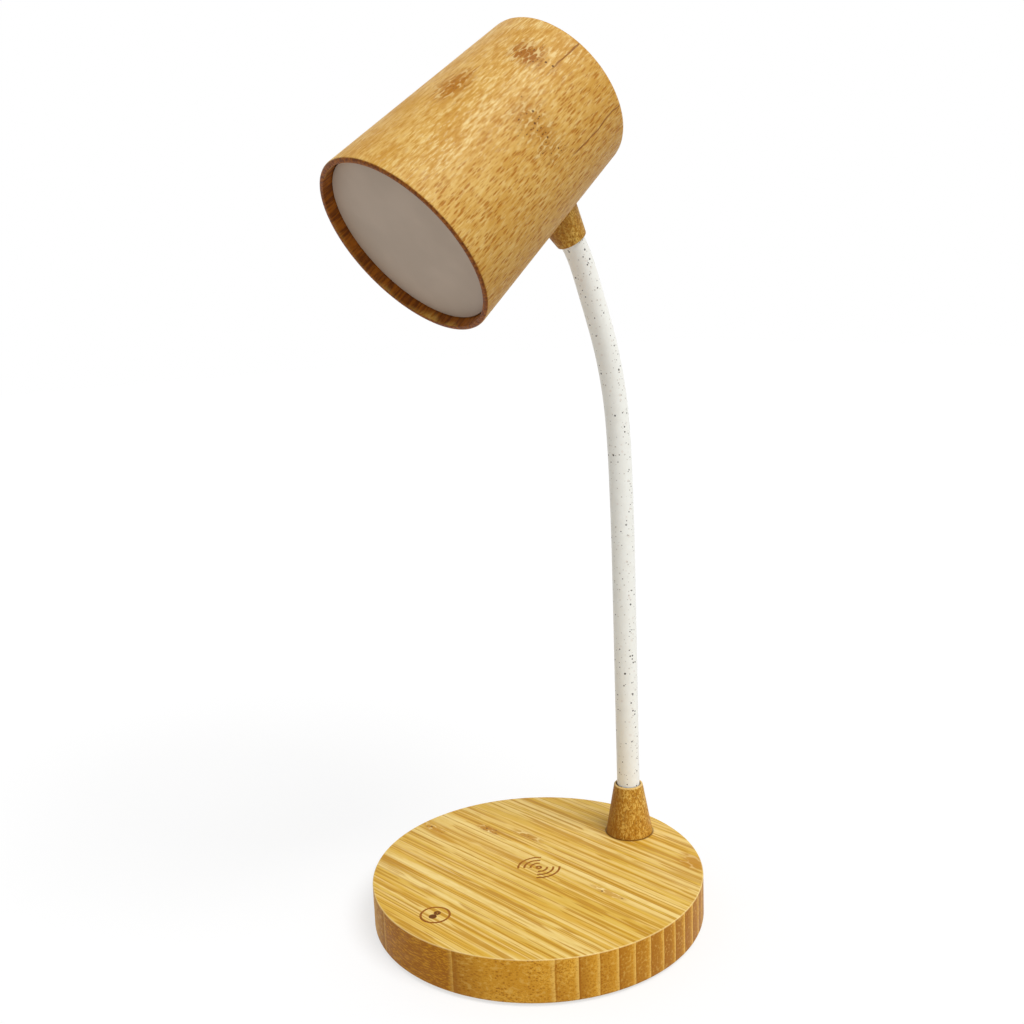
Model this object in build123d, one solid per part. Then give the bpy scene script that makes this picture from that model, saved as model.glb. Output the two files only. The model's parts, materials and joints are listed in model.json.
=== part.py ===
from build123d import *
import math
import os

# Lengths are in millimetres and angles in degrees. The lamp stands on z = 0 with its neck at the
# back (+Y) and its head over the front (-Y). The plane x = 0 cuts it into two like halves.

# Base
base_radius = 65.0
base_thickness = 17.0
base_wall = 11.0
base_roof = 4.0
base_top_round = 0.4
base_bottom_round = 1.2
foot_height = 1.0
foot_inset = 14.0
cover_thickness = 2.0
cover_ledge = 6.0
cover_gap = 0.3
cover_screw_count = 4
cover_screw_radius = 1.1
cover_screw_length = 9.0
screw_head_radius = 2.3
screw_head_height = 1.2
screw_gap = 0.2
screw_hole_spare = 0.5
weight_thickness = 3.5
weight_gap = 3.0

# Charger and touch switch inside the base
charger_y = 0.5
coil_inner_radius = 9.5
coil_turns = 9
coil_pitch = 1.25
coil_wire = 0.8
coil_recess_gap = 0.4
ferrite_thickness = 0.8
ferrite_overlap = 1.5
board_thickness = 1.2
board_gap_below = 1.5
board_width = 60.0
board_length = 46.0
board_y = 6.0
board_tail_width = 15.0
board_tongue_width = 8.0
board_corner_inset = 4.0
board_screw_radius = 1.0
board_screw_head_height = 1.0
standoff_radius = 2.2
chip_size = 7.0
chip_height = 0.9
driver_size = 5.0
inductor_size = 6.6
inductor_height = 2.8
filter_length = 4.0
filter_width = 3.0
filter_height = 1.6
capacitor_length = 3.2
capacitor_width = 1.6
capacitor_height = 1.3
capacitor_spacing = 2.6
transistor_length = 3.2
transistor_width = 2.5
transistor_height = 1.6
transistor_spacing = 4.2
small_part_count = 4
touch_inset = 15.5
touch_pad_radius = 5.0
touch_pad_thickness = 0.3
touch_recess_depth = 2.0
touch_roof = 2.5
contact_width = 4.0
contact_foot = 6.0
contact_sheet = 0.3

# Power inlet in the back wall
inlet_width = 8.94
inlet_height = 3.26
inlet_length = 7.3
inlet_wall = 0.3
inlet_back_wall = 1.0
inlet_inset = 0.9
inlet_gap = 0.2
inlet_recess_width = 13.0
inlet_recess_height = 7.2
inlet_recess_depth = 0.9
tongue_width = 6.7
tongue_thickness = 0.7
tongue_length = 4.4
pocket_gap = 0.7
pocket_skin = 2.8

# Neck
neck_inset = 16.0
first_pivot_above_collar = 6.0
link_length = 19.4
link_leans = [0, 0, 0, 0, 0, 1, 1.5, 4.5, 11.5, 18.5, 19.5]
sleeve_radius = 4.65
sleeve_wall = 0.85
sleeve_end_gap = 0.2
core_radius = 3.0
core_bore = 2.1
core_gap = 0.15
lead_radius = 1.0
run_share = 0.45  # of the shorter run, as far as an arc may reach along it

# Collars and the threaded tubes that hold them
collar_big_radius = 9.7
collar_small_radius = 5.9
collar_height = 21.2
collar_rim = 0.4
collar_mouth_depth = 7.4
collar_mouth_gap = 0.35
stud_radius = 4.0
stud_gap = 0.1
flange_radius = 4.8
flange_thickness = 1.5
socket_depth = 8.0
socket_gap = 0.05
washer_radius = 7.5
washer_thickness = 0.8
washer_gap = 0.5
nut_across_flats = 13.0
nut_thickness = 3.2
stud_end_proud = 0.4

# Head
head_pitch = 38.3
head_front_radius = 36.3
head_back_radius = 30.5
head_length = 87.0
head_back_round = 2.6
head_front_round = 1.0
head_rim_wall = 2.0
head_back_wall = 8.0
upper_collar_lean = 35.0
upper_collar_shown = 12.2
upper_collar_round = 0.8
upper_collar_from_pivot = 5.2
upper_collar_from_front = 61.7
cavity_radius = 27.0
chamber_radius = 31.5
diffuser_depth = 4.0
diffuser_thickness = 2.0
diffuser_gap = 0.2
reflector_length = 16.0
reflector_wall = 1.0
reflector_back_radius = 25.5
led_board_radius = 29.0
led_board_thickness = 1.6
led_size = 3.0
led_height = 0.8
led_inner_ring = 8.0
led_inner_count = 6
led_outer_ring = 18.0
led_outer_count = 12
led_screw_count = 3
led_screw_circle = 12.5
sink_thickness = 3.0
sink_gap = 0.2
sink_screw_count = 3
sink_screw_inset = 2.0
fin_thickness = 1.2
fin_spacing = 6.0
fin_height = 12.0
fin_rows = 4
fin_gap = 2.0
small_screw_radius = 0.9
small_screw_length = 5.0
small_head_radius = 1.7
small_head_height = 0.9
lead_turn_below_axis = 14.0
lead_turn_radius = 8.0
lead_gap = 0.6

# How far a cut runs past the surface that it opens
cut_over = 1.0

# Heights and places that follow from the sizes above
neck_y = base_radius - neck_inset
touch_y = touch_inset - base_radius
wood_bottom = foot_height
base_top = wood_bottom + base_thickness
roof_low = base_top - base_roof
base_cavity_radius = base_radius - base_wall
cover_radius = base_cavity_radius + cover_ledge
cover_top = wood_bottom + cover_thickness
weight_top = cover_top + weight_thickness
board_low = weight_top + board_gap_below
board_top = board_low + board_thickness
coil_outer_radius = coil_inner_radius + coil_turns * coil_pitch + coil_wire
coil_top = roof_low + coil_wire
inlet_z = board_top + inlet_height / 2
inlet_mouth_y = math.sqrt(base_radius**2 - (inlet_width / 2) ** 2) - inlet_inset
inlet_back_y = inlet_mouth_y - inlet_length
inlet_inside_y = inlet_back_y + inlet_back_wall
board_tail_end = inlet_back_y + inlet_length / 2
pocket_end = base_radius - pocket_skin
pocket_half = max(board_tail_width / 2, nut_across_flats / math.sqrt(3), washer_radius) + pocket_gap

# Where the neck's pivots stand at rest
first_pivot_z = base_top + collar_height + first_pivot_above_collar
sleeve_bore = sleeve_radius - sleeve_wall
collar_mouth_radius = sleeve_radius + collar_mouth_gap
pivots = [(neck_y, first_pivot_z)]
for lean in link_leans:
    y, z = pivots[-1]
    step_y = link_length * math.sin(math.radians(lean))
    step_z = link_length * math.cos(math.radians(lean))
    pivots.append((y - step_y, z + step_z))

# Directions: the way the head shines, and the way its collar leads up into it and back down.
# The collar leans a little less than a square seat on the head would have it.
shine = (0, -math.cos(math.radians(head_pitch)), -math.sin(math.radians(head_pitch)))
rise = (0, -math.sin(math.radians(upper_collar_lean)), math.cos(math.radians(upper_collar_lean)))
fall = (0, -rise[1], -rise[2])
collar_slant = head_pitch - upper_collar_lean


def along(point, direction, distance):
    return tuple(p + d * distance for p, d in zip(point, direction))


def radius_at(depth):
    share = depth / head_length
    return head_front_radius + (head_back_radius - head_front_radius) * share


last_pivot = (0, *pivots[-1])
upper_mouth = along(last_pivot, rise, upper_collar_from_pivot)
seat_radius = radius_at(upper_collar_from_front) / math.cos(math.radians(collar_slant))
axis_above_mouth = seat_radius + upper_collar_shown
head_middle = along(upper_mouth, rise, axis_above_mouth)
head_front = along(head_middle, shine, upper_collar_from_front)

# Frames: the head's has its origin at the middle of the rim and looks the way the head shines,
# the two collar frames start at the flange seat and point along the neck
head_frame = Plane(origin=head_front, x_dir=(1, 0, 0), z_dir=shine).location
lower_seat = base_top + collar_height - collar_mouth_depth
lower_frame = Plane(origin=(0, neck_y, lower_seat), x_dir=(1, 0, 0), z_dir=(0, 0, 1)).location
upper_seat = along(upper_mouth, rise, collar_mouth_depth)
upper_frame = Plane(origin=upper_seat, x_dir=(1, 0, 0), z_dir=fall).location

# Depths inside the head, measured from its rim
ledge_depth = diffuser_depth + diffuser_thickness
led_board_depth = ledge_depth + reflector_length
sink_depth = led_board_depth + led_board_thickness
cavity_depth = sink_depth + sink_thickness
nut_seat = cavity_radius + washer_gap
collar_cope = head_front_radius - nut_seat


def rod(radius, low, high, x=0, y=0):
    standing = Cylinder(radius, high - low, align=(Align.CENTER, Align.CENTER, Align.MIN))
    return Pos(x, y, low) * standing


def block(size_x, size_y, low, high, x=0, y=0):
    standing = Box(size_x, size_y, high - low, align=(Align.CENTER, Align.CENTER, Align.MIN))
    return Pos(x, y, low) * standing


def turned(points):
    outline = make_face(Polyline([(r, 0, z) for r, z in points], close=True))
    return revolve(outline, Axis.Z)


def around(count, circle, start=0.0):
    angles = [math.radians(start + 360.0 * step / count) for step in range(count)]
    return [(circle * math.cos(angle), circle * math.sin(angle)) for angle in angles]


def hexagon(across_flats, low, high):
    outline = RegularPolygon(across_flats / math.sqrt(3), 6)
    return Pos(0, 0, low) * extrude(outline, high - low)


def stadium(width, height, back, front):
    outline = Plane.XZ * SlotOverall(width, height)
    return Pos(0, front, inlet_z) * extrude(outline, front - back)


def pan_screw(radius, length, head_radius, head_height):
    # The head stands on z = 0 and the shank points down
    return rod(head_radius, 0, head_height) + rod(radius, -length, 0)


# Base: the laminated block, its cover, screws, foot and weight

cover_screw_circle = base_cavity_radius + cover_ledge / 2
cover_screw_places = around(cover_screw_count, cover_screw_circle, start=180.0 / cover_screw_count)


def base_block():
    body = rod(base_radius, wood_bottom, base_top)
    rims = body.edges().filter_by(GeomType.CIRCLE).sort_by(Axis.Z)
    body = fillet(rims[-1], base_top_round)
    rims = body.edges().filter_by(GeomType.CIRCLE).sort_by(Axis.Z)
    body = fillet(rims[0], base_bottom_round)
    body -= rod(base_cavity_radius, wood_bottom, roof_low)
    body -= rod(cover_radius + cover_gap, wood_bottom, cover_top)
    body -= rod(coil_outer_radius + coil_recess_gap, roof_low, coil_top, y=charger_y)
    touch_low = roof_low - touch_recess_depth
    body -= rod(touch_pad_radius + coil_recess_gap, touch_low, base_top - touch_roof, y=touch_y)
    body -= rod(stud_radius + stud_gap, roof_low, base_top, y=neck_y)
    pocket_start = base_cavity_radius / 2
    pocket_middle = (pocket_start + pocket_end) / 2
    pocket_length = pocket_end - pocket_start
    pocket_low = board_low - pocket_gap
    body -= block(2 * pocket_half, pocket_length, pocket_low, roof_low, y=pocket_middle)
    outside = base_radius + cut_over
    slot_width = inlet_width + 2 * inlet_gap
    slot_height = inlet_height + 2 * inlet_gap
    body -= stadium(slot_width, slot_height, pocket_end - cut_over, outside)
    recess_start = base_radius - inlet_recess_depth
    body -= stadium(inlet_recess_width, inlet_recess_height, recess_start, outside)
    hole_end = wood_bottom + cover_screw_length + screw_hole_spare
    for x, y in cover_screw_places:
        body -= rod(cover_screw_radius + socket_gap, cover_top, hole_end, x, y)
    return body


def bottom_cover():
    plate = rod(cover_radius, wood_bottom, cover_top)
    hole = cover_screw_radius + screw_gap
    for x, y in cover_screw_places:
        plate -= rod(hole, wood_bottom, cover_top, x, y)
        sink = Cone(screw_head_radius + screw_gap, hole, screw_head_height)
        plate -= Pos(x, y, wood_bottom + screw_head_height / 2) * sink
    return plate


def cover_screws():
    head = Cone(screw_head_radius, cover_screw_radius, screw_head_height)
    screw = Pos(0, 0, screw_head_height / 2) * head
    screw += rod(cover_screw_radius, screw_head_height, cover_screw_length)
    return Compound([Pos(x, y, wood_bottom) * screw for x, y in cover_screw_places])


def foot_pad():
    return rod(base_radius - foot_inset, 0, foot_height)


def weight_plate():
    # Round, with its back cut off straight below the neck
    plate = rod(base_cavity_radius - weight_gap, cover_top, weight_top)
    width = 2 * pocket_half
    middle = neck_y + base_cavity_radius / 2
    return plate - block(width, base_cavity_radius, cover_top, weight_top, y=middle)


# Charger: coil, ferrite, board and what stands on it


def charging_coil():
    # A flat spiral of half turns, each about a centre that moves half a step sideways
    arcs = []
    for half in range(2 * coil_turns):
        radius = coil_inner_radius + coil_wire / 2 + (half + 0.5) * coil_pitch / 2
        side = 1 if half % 2 == 0 else -1
        centre = (side * coil_pitch / 4, charger_y, roof_low + coil_wire / 2)
        arcs.append(CenterArc(centre, radius, 180.0 if half % 2 else 0.0, 180.0))
    path = Wire(arcs)
    section = Plane(origin=path @ 0, x_dir=(1, 0, 0), z_dir=path % 0)
    return sweep(section * Rectangle(coil_wire, coil_wire), path=path)


def ferrite_sheet():
    low = roof_low - ferrite_thickness
    return rod(coil_outer_radius + coil_recess_gap + ferrite_overlap, low, roof_low, y=charger_y)


corner_x = board_width / 2 - board_corner_inset
corner_y = board_length / 2 - board_corner_inset
board_corners = [(sx * corner_x, board_y + sy * corner_y) for sx in (-1, 1) for sy in (-1, 1)]
board_front_end = touch_y - contact_foot / 2


def charger_board():
    board = block(board_width, board_length, board_low, board_top, y=board_y)
    tail = board_tail_end - board_y
    board += block(board_tail_width, tail, board_low, board_top, y=board_y + tail / 2)
    tongue = board_y - board_front_end
    board += block(board_tongue_width, tongue, board_low, board_top, y=board_y - tongue / 2)
    for x, y in board_corners:
        board -= rod(board_screw_radius + screw_gap, board_low, board_top, x, y)
    return board


def board_standoffs():
    posts = []
    for x, y in board_corners:
        post = rod(standoff_radius, weight_top, board_low, x, y)
        posts.append(post - rod(board_screw_radius + socket_gap, weight_top, board_low, x, y))
    return Compound(posts)


def board_screws():
    length = board_thickness + board_gap_below - screw_gap
    screw = pan_screw(board_screw_radius, length, 2 * board_screw_radius, board_screw_head_height)
    return Compound([Pos(x, y, board_top) * screw for x, y in board_corners])


def on_board(size_x, size_y, height, x, y):
    return block(size_x, size_y, board_top, board_top + height, x=x, y=y)


def board_parts():
    # Controller, driver, inductor and filter, then a row of capacitors and one of transistors
    side = board_width / 4
    front = board_y - board_length / 3
    back = board_y + board_length / 3
    pieces = [
        on_board(chip_size, chip_size, chip_height, -side, board_y),
        on_board(driver_size, driver_size, chip_height, side, front),
        on_board(inductor_size, inductor_size, inductor_height, side, back),
        on_board(filter_length, filter_width, filter_height, 0, back),
    ]
    for step in range(small_part_count):
        y = front + capacitor_spacing * (step - 1)
        x = side + transistor_spacing * (step - 1.5)
        pieces.append(on_board(capacitor_length, capacitor_width, capacitor_height, -side, y))
        pieces.append(on_board(transistor_length, transistor_width, transistor_height, x, board_y))
    return Compound(pieces)


def usb_socket():
    shell = stadium(inlet_width, inlet_height, inlet_back_y, inlet_mouth_y)
    inside_width = inlet_width - 2 * inlet_wall
    inside_height = inlet_height - 2 * inlet_wall
    return shell - stadium(inside_width, inside_height, inlet_inside_y, inlet_mouth_y)


def usb_tongue():
    low = inlet_z - tongue_thickness / 2
    middle = inlet_inside_y + tongue_length / 2
    return block(tongue_width, tongue_length, low, low + tongue_thickness, y=middle)


def touch_pad():
    top = base_top - touch_roof
    return rod(touch_pad_radius, top - touch_pad_thickness, top, y=touch_y)


def touch_contact():
    # A bent strip whose foot lies on the board and whose top bears on the pad
    top = base_top - touch_roof - touch_pad_thickness
    half = contact_foot / 2
    low = board_top
    outline = [
        (touch_y - half, low),
        (touch_y + half, low),
        (touch_y - half / 2, top - contact_sheet),
        (touch_y + half, top - contact_sheet),
        (touch_y + half, top),
        (touch_y - half, top),
        (touch_y + half / 2, low + contact_sheet),
        (touch_y - half, low + contact_sheet),
    ]
    strip = make_face(Polyline([(0, y, z) for y, z in outline], close=True))
    return extrude(strip, contact_width / 2, both=True)


# Collars, threaded tubes, washers and nuts. In a collar's frame the clamp is below.


def collar(shown, extra=0.0):
    # In its collar frame the mouth is at z = mouth depth and the wide end points down
    slope = (collar_big_radius - collar_small_radius) / collar_height
    top = collar_mouth_depth
    low = top - shown - extra
    return turned(
        [
            (stud_radius + stud_gap, low),
            (collar_small_radius + slope * (shown + extra), low),
            (collar_small_radius, top),
            (collar_mouth_radius, top),
            (collar_mouth_radius, 0),
            (stud_radius + stud_gap, 0),
        ]
    )


def mouth_edge(shape):
    # The outer edge of the collar's small end
    rims = shape.edges().filter_by(GeomType.CIRCLE).group_by(Axis.Z)[-1]
    return rims.sort_by(SortBy.RADIUS)[-1]


def stud(length):
    # A threaded tube with a flange that bears on the collar's inner step and a socket for the core
    tube = rod(stud_radius, -length, 0) + rod(flange_radius, 0, flange_thickness)
    tube -= rod(core_bore, -length, flange_thickness)
    return tube - rod(core_radius + socket_gap, flange_thickness - socket_depth, flange_thickness)


def washer(high):
    low = high - washer_thickness
    return rod(washer_radius, low, high) - rod(stud_radius + stud_gap, low, high)


def nut(high):
    body = hexagon(nut_across_flats, high - nut_thickness, high)
    return body - rod(stud_radius + socket_gap, high - nut_thickness, high)


lower_clamp = roof_low - lower_seat
upper_clamp = nut_seat - (axis_above_mouth - collar_mouth_depth)
stud_below_clamp = washer_thickness + nut_thickness + stud_end_proud

# Neck: sleeve, core and lead


def core_piece(length, dome=True, cup=True):
    # The lower pivot is at z = 0 and the upper one at z = length
    piece = rod(core_radius, 0, length)
    if dome:
        piece += Pos(0, 0, length) * Sphere(core_radius)
    if cup:
        piece -= Sphere(core_radius + core_gap)
    return piece - rod(core_bore, -cut_over, length + core_radius + cut_over)


def link_frame(number):
    lean = math.radians(link_leans[number])
    y, z = pivots[number]
    way = (0, -math.sin(lean), math.cos(lean))
    return Plane(origin=(0, y, z), x_dir=(1, 0, 0), z_dir=way).location


def neck_core_base():
    length = first_pivot_z - (lower_seat + flange_thickness - socket_depth)
    return Pos(0, neck_y, first_pivot_z - length) * core_piece(length, cup=False)


def neck_core_head():
    length = upper_collar_from_pivot + collar_mouth_depth - flange_thickness + socket_depth
    frame = Plane(origin=last_pivot, x_dir=(1, 0, 0), z_dir=rise).location
    return frame * core_piece(length, dome=False)


def neck_route(start_z, end):
    # Runs between the pivots where the neck turns, and on to the end
    points = [(0, neck_y, start_z)]
    for number, lean in enumerate(link_leans):
        before = link_leans[number - 1] if number else 0
        if lean != before:
            points.append((0, *pivots[number]))
    points.append(last_pivot)
    points.append(end)
    return points


def bend_radii(points):
    radii = []
    for before, corner, after in zip(points, points[1:], points[2:]):
        into = Vector(*corner) - Vector(*before)
        out = Vector(*after) - Vector(*corner)
        turn = into.get_angle(out)
        shorter = min(into.length, out.length)
        radii.append(run_share * shorter / math.tan(math.radians(turn / 2)))
    return radii


def tube_along(points, radii, radius):
    path = FilletPolyline(*points, radius=radii)
    section = Plane(origin=path @ 0, x_dir=(1, 0, 0), z_dir=path % 0) * Circle(radius)
    tube = sweep(section, path=path)
    share = tube.volume / (math.pi * radius**2 * path.length)
    print("tube of radius", radius, "has", round(share, 4), "of its section times its length")
    return tube


def neck_sleeve():
    start = lower_seat + flange_thickness + sleeve_end_gap
    top = along(upper_mouth, rise, collar_mouth_depth - flange_thickness - sleeve_end_gap)
    points = neck_route(start, top)
    radii = bend_radii(points)
    print("neck bend radii", [round(r) for r in radii])
    return tube_along(points, radii, sleeve_radius) - tube_along(points, radii, sleeve_bore)


def led_lead():
    corner = along(head_middle, rise, -lead_turn_below_axis)
    shift = lead_turn_below_axis * math.sin(math.radians(collar_slant))
    end = along(corner, shine, upper_collar_from_front - sink_depth - shift)
    points = neck_route(board_top, corner)
    radii = bend_radii(points) + [lead_turn_radius]
    return tube_along(points + [end], radii, lead_radius)


# Head: modelled in its own frame, where depth runs down from the rim at z = 0


def head_outside():
    back = -head_length
    cone = turned([(0, 0), (head_front_radius, 0), (head_back_radius, back), (0, back)])
    rims = cone.edges().filter_by(GeomType.CIRCLE).sort_by(Axis.Z)
    cone = fillet(rims[0], head_back_round)
    rims = cone.edges().filter_by(GeomType.CIRCLE).sort_by(Axis.Z)
    return fillet(rims[-1], head_front_round)


def head_shell():
    shell = head_outside()
    back = head_length - head_back_wall
    shell -= turned(
        [
            (0, 0),
            (head_front_radius - head_rim_wall, 0),
            (radius_at(ledge_depth) - head_rim_wall, -ledge_depth),
            (chamber_radius, -ledge_depth),
            (chamber_radius, -cavity_depth),
            (cavity_radius, -cavity_depth),
            (cavity_radius, -back),
            (0, -back),
        ]
    )
    across = Pos(0, 0, -upper_collar_from_front) * Rot(90 - collar_slant, 0, 0)
    shell -= across * rod(stud_radius + stud_gap, 0, head_front_radius)
    shell -= across * rod(washer_radius + washer_gap, 0, nut_seat)
    for x, y in sink_screw_places:
        depth = cavity_depth + small_screw_length
        shell -= rod(small_screw_radius + socket_gap, -depth, -cavity_depth, x, y)
    return shell


sink_radius = chamber_radius - sink_gap
sink_screw_circle = chamber_radius - sink_screw_inset
sink_screw_places = around(sink_screw_count, sink_screw_circle, start=90)
led_screw_places = around(led_screw_count, led_screw_circle, start=90)


def diffuser():
    radius = radius_at(ledge_depth) - head_rim_wall - diffuser_gap
    disc = rod(radius, -ledge_depth, -diffuser_depth)
    rims = disc.edges().filter_by(GeomType.CIRCLE).sort_by(Axis.Z)
    return chamfer(rims[-1], diffuser_gap)


def reflector():
    front = chamber_radius - sink_gap
    back = reflector_back_radius
    return turned(
        [
            (front, -ledge_depth),
            (back + reflector_wall, -led_board_depth),
            (back, -led_board_depth),
            (front - reflector_wall, -ledge_depth),
        ]
    )


def led_board():
    board = rod(led_board_radius, -sink_depth, -led_board_depth)
    for x, y in led_screw_places:
        board -= rod(small_screw_radius + screw_gap, -sink_depth, -led_board_depth, x, y)
    for x, y in sink_screw_places:
        board -= rod(small_head_radius + screw_gap, -sink_depth, -led_board_depth, x, y)
    return board


def leds():
    low = -led_board_depth
    places = around(led_inner_count, led_inner_ring) + around(led_outer_count, led_outer_ring)
    return Compound([block(led_size, led_size, low, low + led_height, x, y) for x, y in places])


def led_screws():
    length = led_board_thickness + sink_thickness - screw_hole_spare
    screw = pan_screw(small_screw_radius, length, small_head_radius, small_head_height)
    return Compound([Pos(x, y, -led_board_depth) * screw for x, y in led_screw_places])


def heat_sink():
    plate = rod(sink_radius, -cavity_depth, -sink_depth)
    fin_end = -cavity_depth - fin_height
    reach = rod(cavity_radius - fin_gap, fin_end, -cavity_depth)
    for row in range(-fin_rows, fin_rows):
        x = fin_spacing * (row + 0.5)
        plate += reach & block(fin_thickness, 2 * cavity_radius, fin_end, -cavity_depth, x=x)
    lead_y = -lead_turn_below_axis * math.cos(math.radians(collar_slant))
    plate -= rod(lead_radius + lead_gap, -cavity_depth, -sink_depth, y=lead_y)
    for x, y in led_screw_places:
        plate -= rod(small_screw_radius + socket_gap, -cavity_depth, -sink_depth, x, y)
    for x, y in sink_screw_places:
        plate -= rod(small_screw_radius + screw_gap, -cavity_depth, -sink_depth, x, y)
    return plate


def sink_screws():
    length = sink_thickness + small_screw_length - screw_hole_spare
    screw = pan_screw(small_screw_radius, length, small_head_radius, small_head_height)
    return Compound([Pos(x, y, -sink_depth) * screw for x, y in sink_screw_places])


def lower_collar():
    body = collar(collar_height)
    return lower_frame * chamfer(mouth_edge(body), collar_rim)


def upper_collar():
    # Coped to the underside of the head
    body = collar(upper_collar_shown, extra=collar_cope)
    body = fillet(mouth_edge(body), upper_collar_round)
    return upper_frame * body - head_frame * head_outside()


# Each sub-part under its own name

parts = {
    "base_block": base_block(),
    "bottom_cover": bottom_cover(),
    "cover_screws": cover_screws(),
    "foot_pad": foot_pad(),
    "weight_plate": weight_plate(),
    "charging_coil": charging_coil(),
    "ferrite_sheet": ferrite_sheet(),
    "charger_board": charger_board(),
    "board_standoffs": board_standoffs(),
    "board_screws": board_screws(),
    "board_parts": board_parts(),
    "usb_socket": usb_socket(),
    "usb_tongue": usb_tongue(),
    "touch_pad": touch_pad(),
    "touch_contact": touch_contact(),
    "lower_collar": lower_collar(),
    "lower_stud": lower_frame * stud(stud_below_clamp - lower_clamp),
    "lower_washer": lower_frame * washer(lower_clamp),
    "lower_nut": lower_frame * nut(lower_clamp - washer_thickness),
    "neck_core_base": neck_core_base(),
    "neck_core_head": neck_core_head(),
    "neck_sleeve": neck_sleeve(),
    "led_lead": led_lead(),
    "upper_collar": upper_collar(),
    "upper_stud": upper_frame * stud(stud_below_clamp - upper_clamp),
    "upper_washer": upper_frame * washer(upper_clamp),
    "upper_nut": upper_frame * nut(upper_clamp - washer_thickness),
    "head_shell": head_frame * head_shell(),
    "diffuser": head_frame * diffuser(),
    "reflector": head_frame * reflector(),
    "led_board": head_frame * led_board(),
    "leds": head_frame * leds(),
    "led_screws": head_frame * led_screws(),
    "heat_sink": head_frame * heat_sink(),
    "sink_screws": head_frame * sink_screws(),
}
for number in range(len(link_leans)):
    parts[f"neck_core_{number + 1:02d}"] = link_frame(number) * core_piece(link_length)

os.makedirs("parts", exist_ok=True)
for name, shape in parts.items():
    export_step(shape, f"parts/{name}.step")
print(len(parts), "sub-parts written")
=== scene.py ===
import json
import math

import bmesh
import bpy
from mathutils import Matrix, Vector


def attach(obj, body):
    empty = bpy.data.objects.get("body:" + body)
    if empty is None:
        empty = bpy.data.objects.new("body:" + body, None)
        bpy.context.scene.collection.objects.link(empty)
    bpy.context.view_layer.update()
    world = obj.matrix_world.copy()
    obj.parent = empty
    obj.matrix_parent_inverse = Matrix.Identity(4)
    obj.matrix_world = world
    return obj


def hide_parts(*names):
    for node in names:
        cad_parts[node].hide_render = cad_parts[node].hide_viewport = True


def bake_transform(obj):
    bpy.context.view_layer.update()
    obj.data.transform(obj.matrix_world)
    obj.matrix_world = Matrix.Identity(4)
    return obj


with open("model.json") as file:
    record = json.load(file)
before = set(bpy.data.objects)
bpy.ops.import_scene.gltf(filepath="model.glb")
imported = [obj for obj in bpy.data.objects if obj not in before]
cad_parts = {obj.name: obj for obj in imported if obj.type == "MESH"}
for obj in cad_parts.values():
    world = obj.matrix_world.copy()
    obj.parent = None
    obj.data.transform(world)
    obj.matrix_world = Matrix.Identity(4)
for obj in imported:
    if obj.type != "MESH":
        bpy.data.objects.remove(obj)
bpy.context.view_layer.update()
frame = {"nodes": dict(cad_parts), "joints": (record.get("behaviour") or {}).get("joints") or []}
mm = 0.001
print("frame loaded:", len(frame["nodes"]), "nodes")


# Camera

camera = {
    "place": (346.4, -258.5, 246.4), "azimuth": 53.85, "elevation": 11.06, "roll": -2.3,
    "lens": 41.49, "sensor": 36.0, "clipStart": 0.01,
}


def linked(name, data):
    made = bpy.data.objects.new(name, data)
    bpy.context.scene.collection.objects.link(made)
    return made


def makeCamera():
    turn = math.radians(camera["azimuth"])
    tilt = math.radians(camera["elevation"])
    roll = math.radians(camera["roll"])
    forward = Vector((-math.sin(turn) * math.cos(tilt), math.cos(turn) * math.cos(tilt), -math.sin(tilt)))
    level = Vector((math.cos(turn), math.sin(turn), 0.0))
    upward = level.cross(forward)
    right = level * math.cos(roll) + upward * math.sin(roll)
    up = upward * math.cos(roll) - level * math.sin(roll)
    data = bpy.data.cameras.new("camera")
    data.lens = camera["lens"]
    data.sensor_width = camera["sensor"]
    data.clip_start = camera["clipStart"]
    made = linked("camera", data)
    made.matrix_world = Matrix((right, up, -forward)).transposed().to_4x4()
    made.location = Vector(camera["place"]) * mm
    bpy.context.scene.camera = made


makeCamera()


# Node trees: Wire is one socket that can be reckoned with, Tree fills a tree with nodes

class Wire:
    def __init__(self, tree, socket):
        self.tree = tree
        self.socket = socket

    def __add__(self, other):
        return self.tree.maths("ADD", self, other)

    def __sub__(self, other):
        return self.tree.maths("SUBTRACT", self, other)

    def __rsub__(self, other):
        return self.tree.maths("SUBTRACT", other, self)

    def __mul__(self, other):
        return self.tree.maths("MULTIPLY", self, other)

    def __truediv__(self, other):
        return self.tree.maths("DIVIDE", self, other)

    def __abs__(self):
        return self.tree.maths("ABSOLUTE", self)

    __radd__ = __add__
    __rmul__ = __mul__


class Tree:
    def __init__(self, tree):
        self.nodes = tree.nodes
        self.links = tree.links
        self.nodes.clear()

    def node(self, kind, values=None, output=0, **settings):
        made = self.nodes.new(kind)
        for key, value in settings.items():
            setattr(made, key, value)
        for key, value in (values or {}).items():
            socket = made.inputs[key]
            if isinstance(value, Wire):
                self.links.new(value.socket, socket)
            elif socket.type == "RGBA" and len(value) == 3:
                socket.default_value = (*value, 1.0)
            else:
                socket.default_value = value
        return Wire(self, made.outputs[output] if made.outputs else None)

    def maths(self, operation, *values):
        return self.node("ShaderNodeMath", dict(enumerate(values)), operation=operation)

    def combine(self, x, y, z):
        return self.node("ShaderNodeCombineXYZ", {"X": x, "Y": y, "Z": z})

    def vector(self, operation, *values, output=0):
        return self.node("ShaderNodeVectorMath", dict(enumerate(values)), output, operation=operation)


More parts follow.
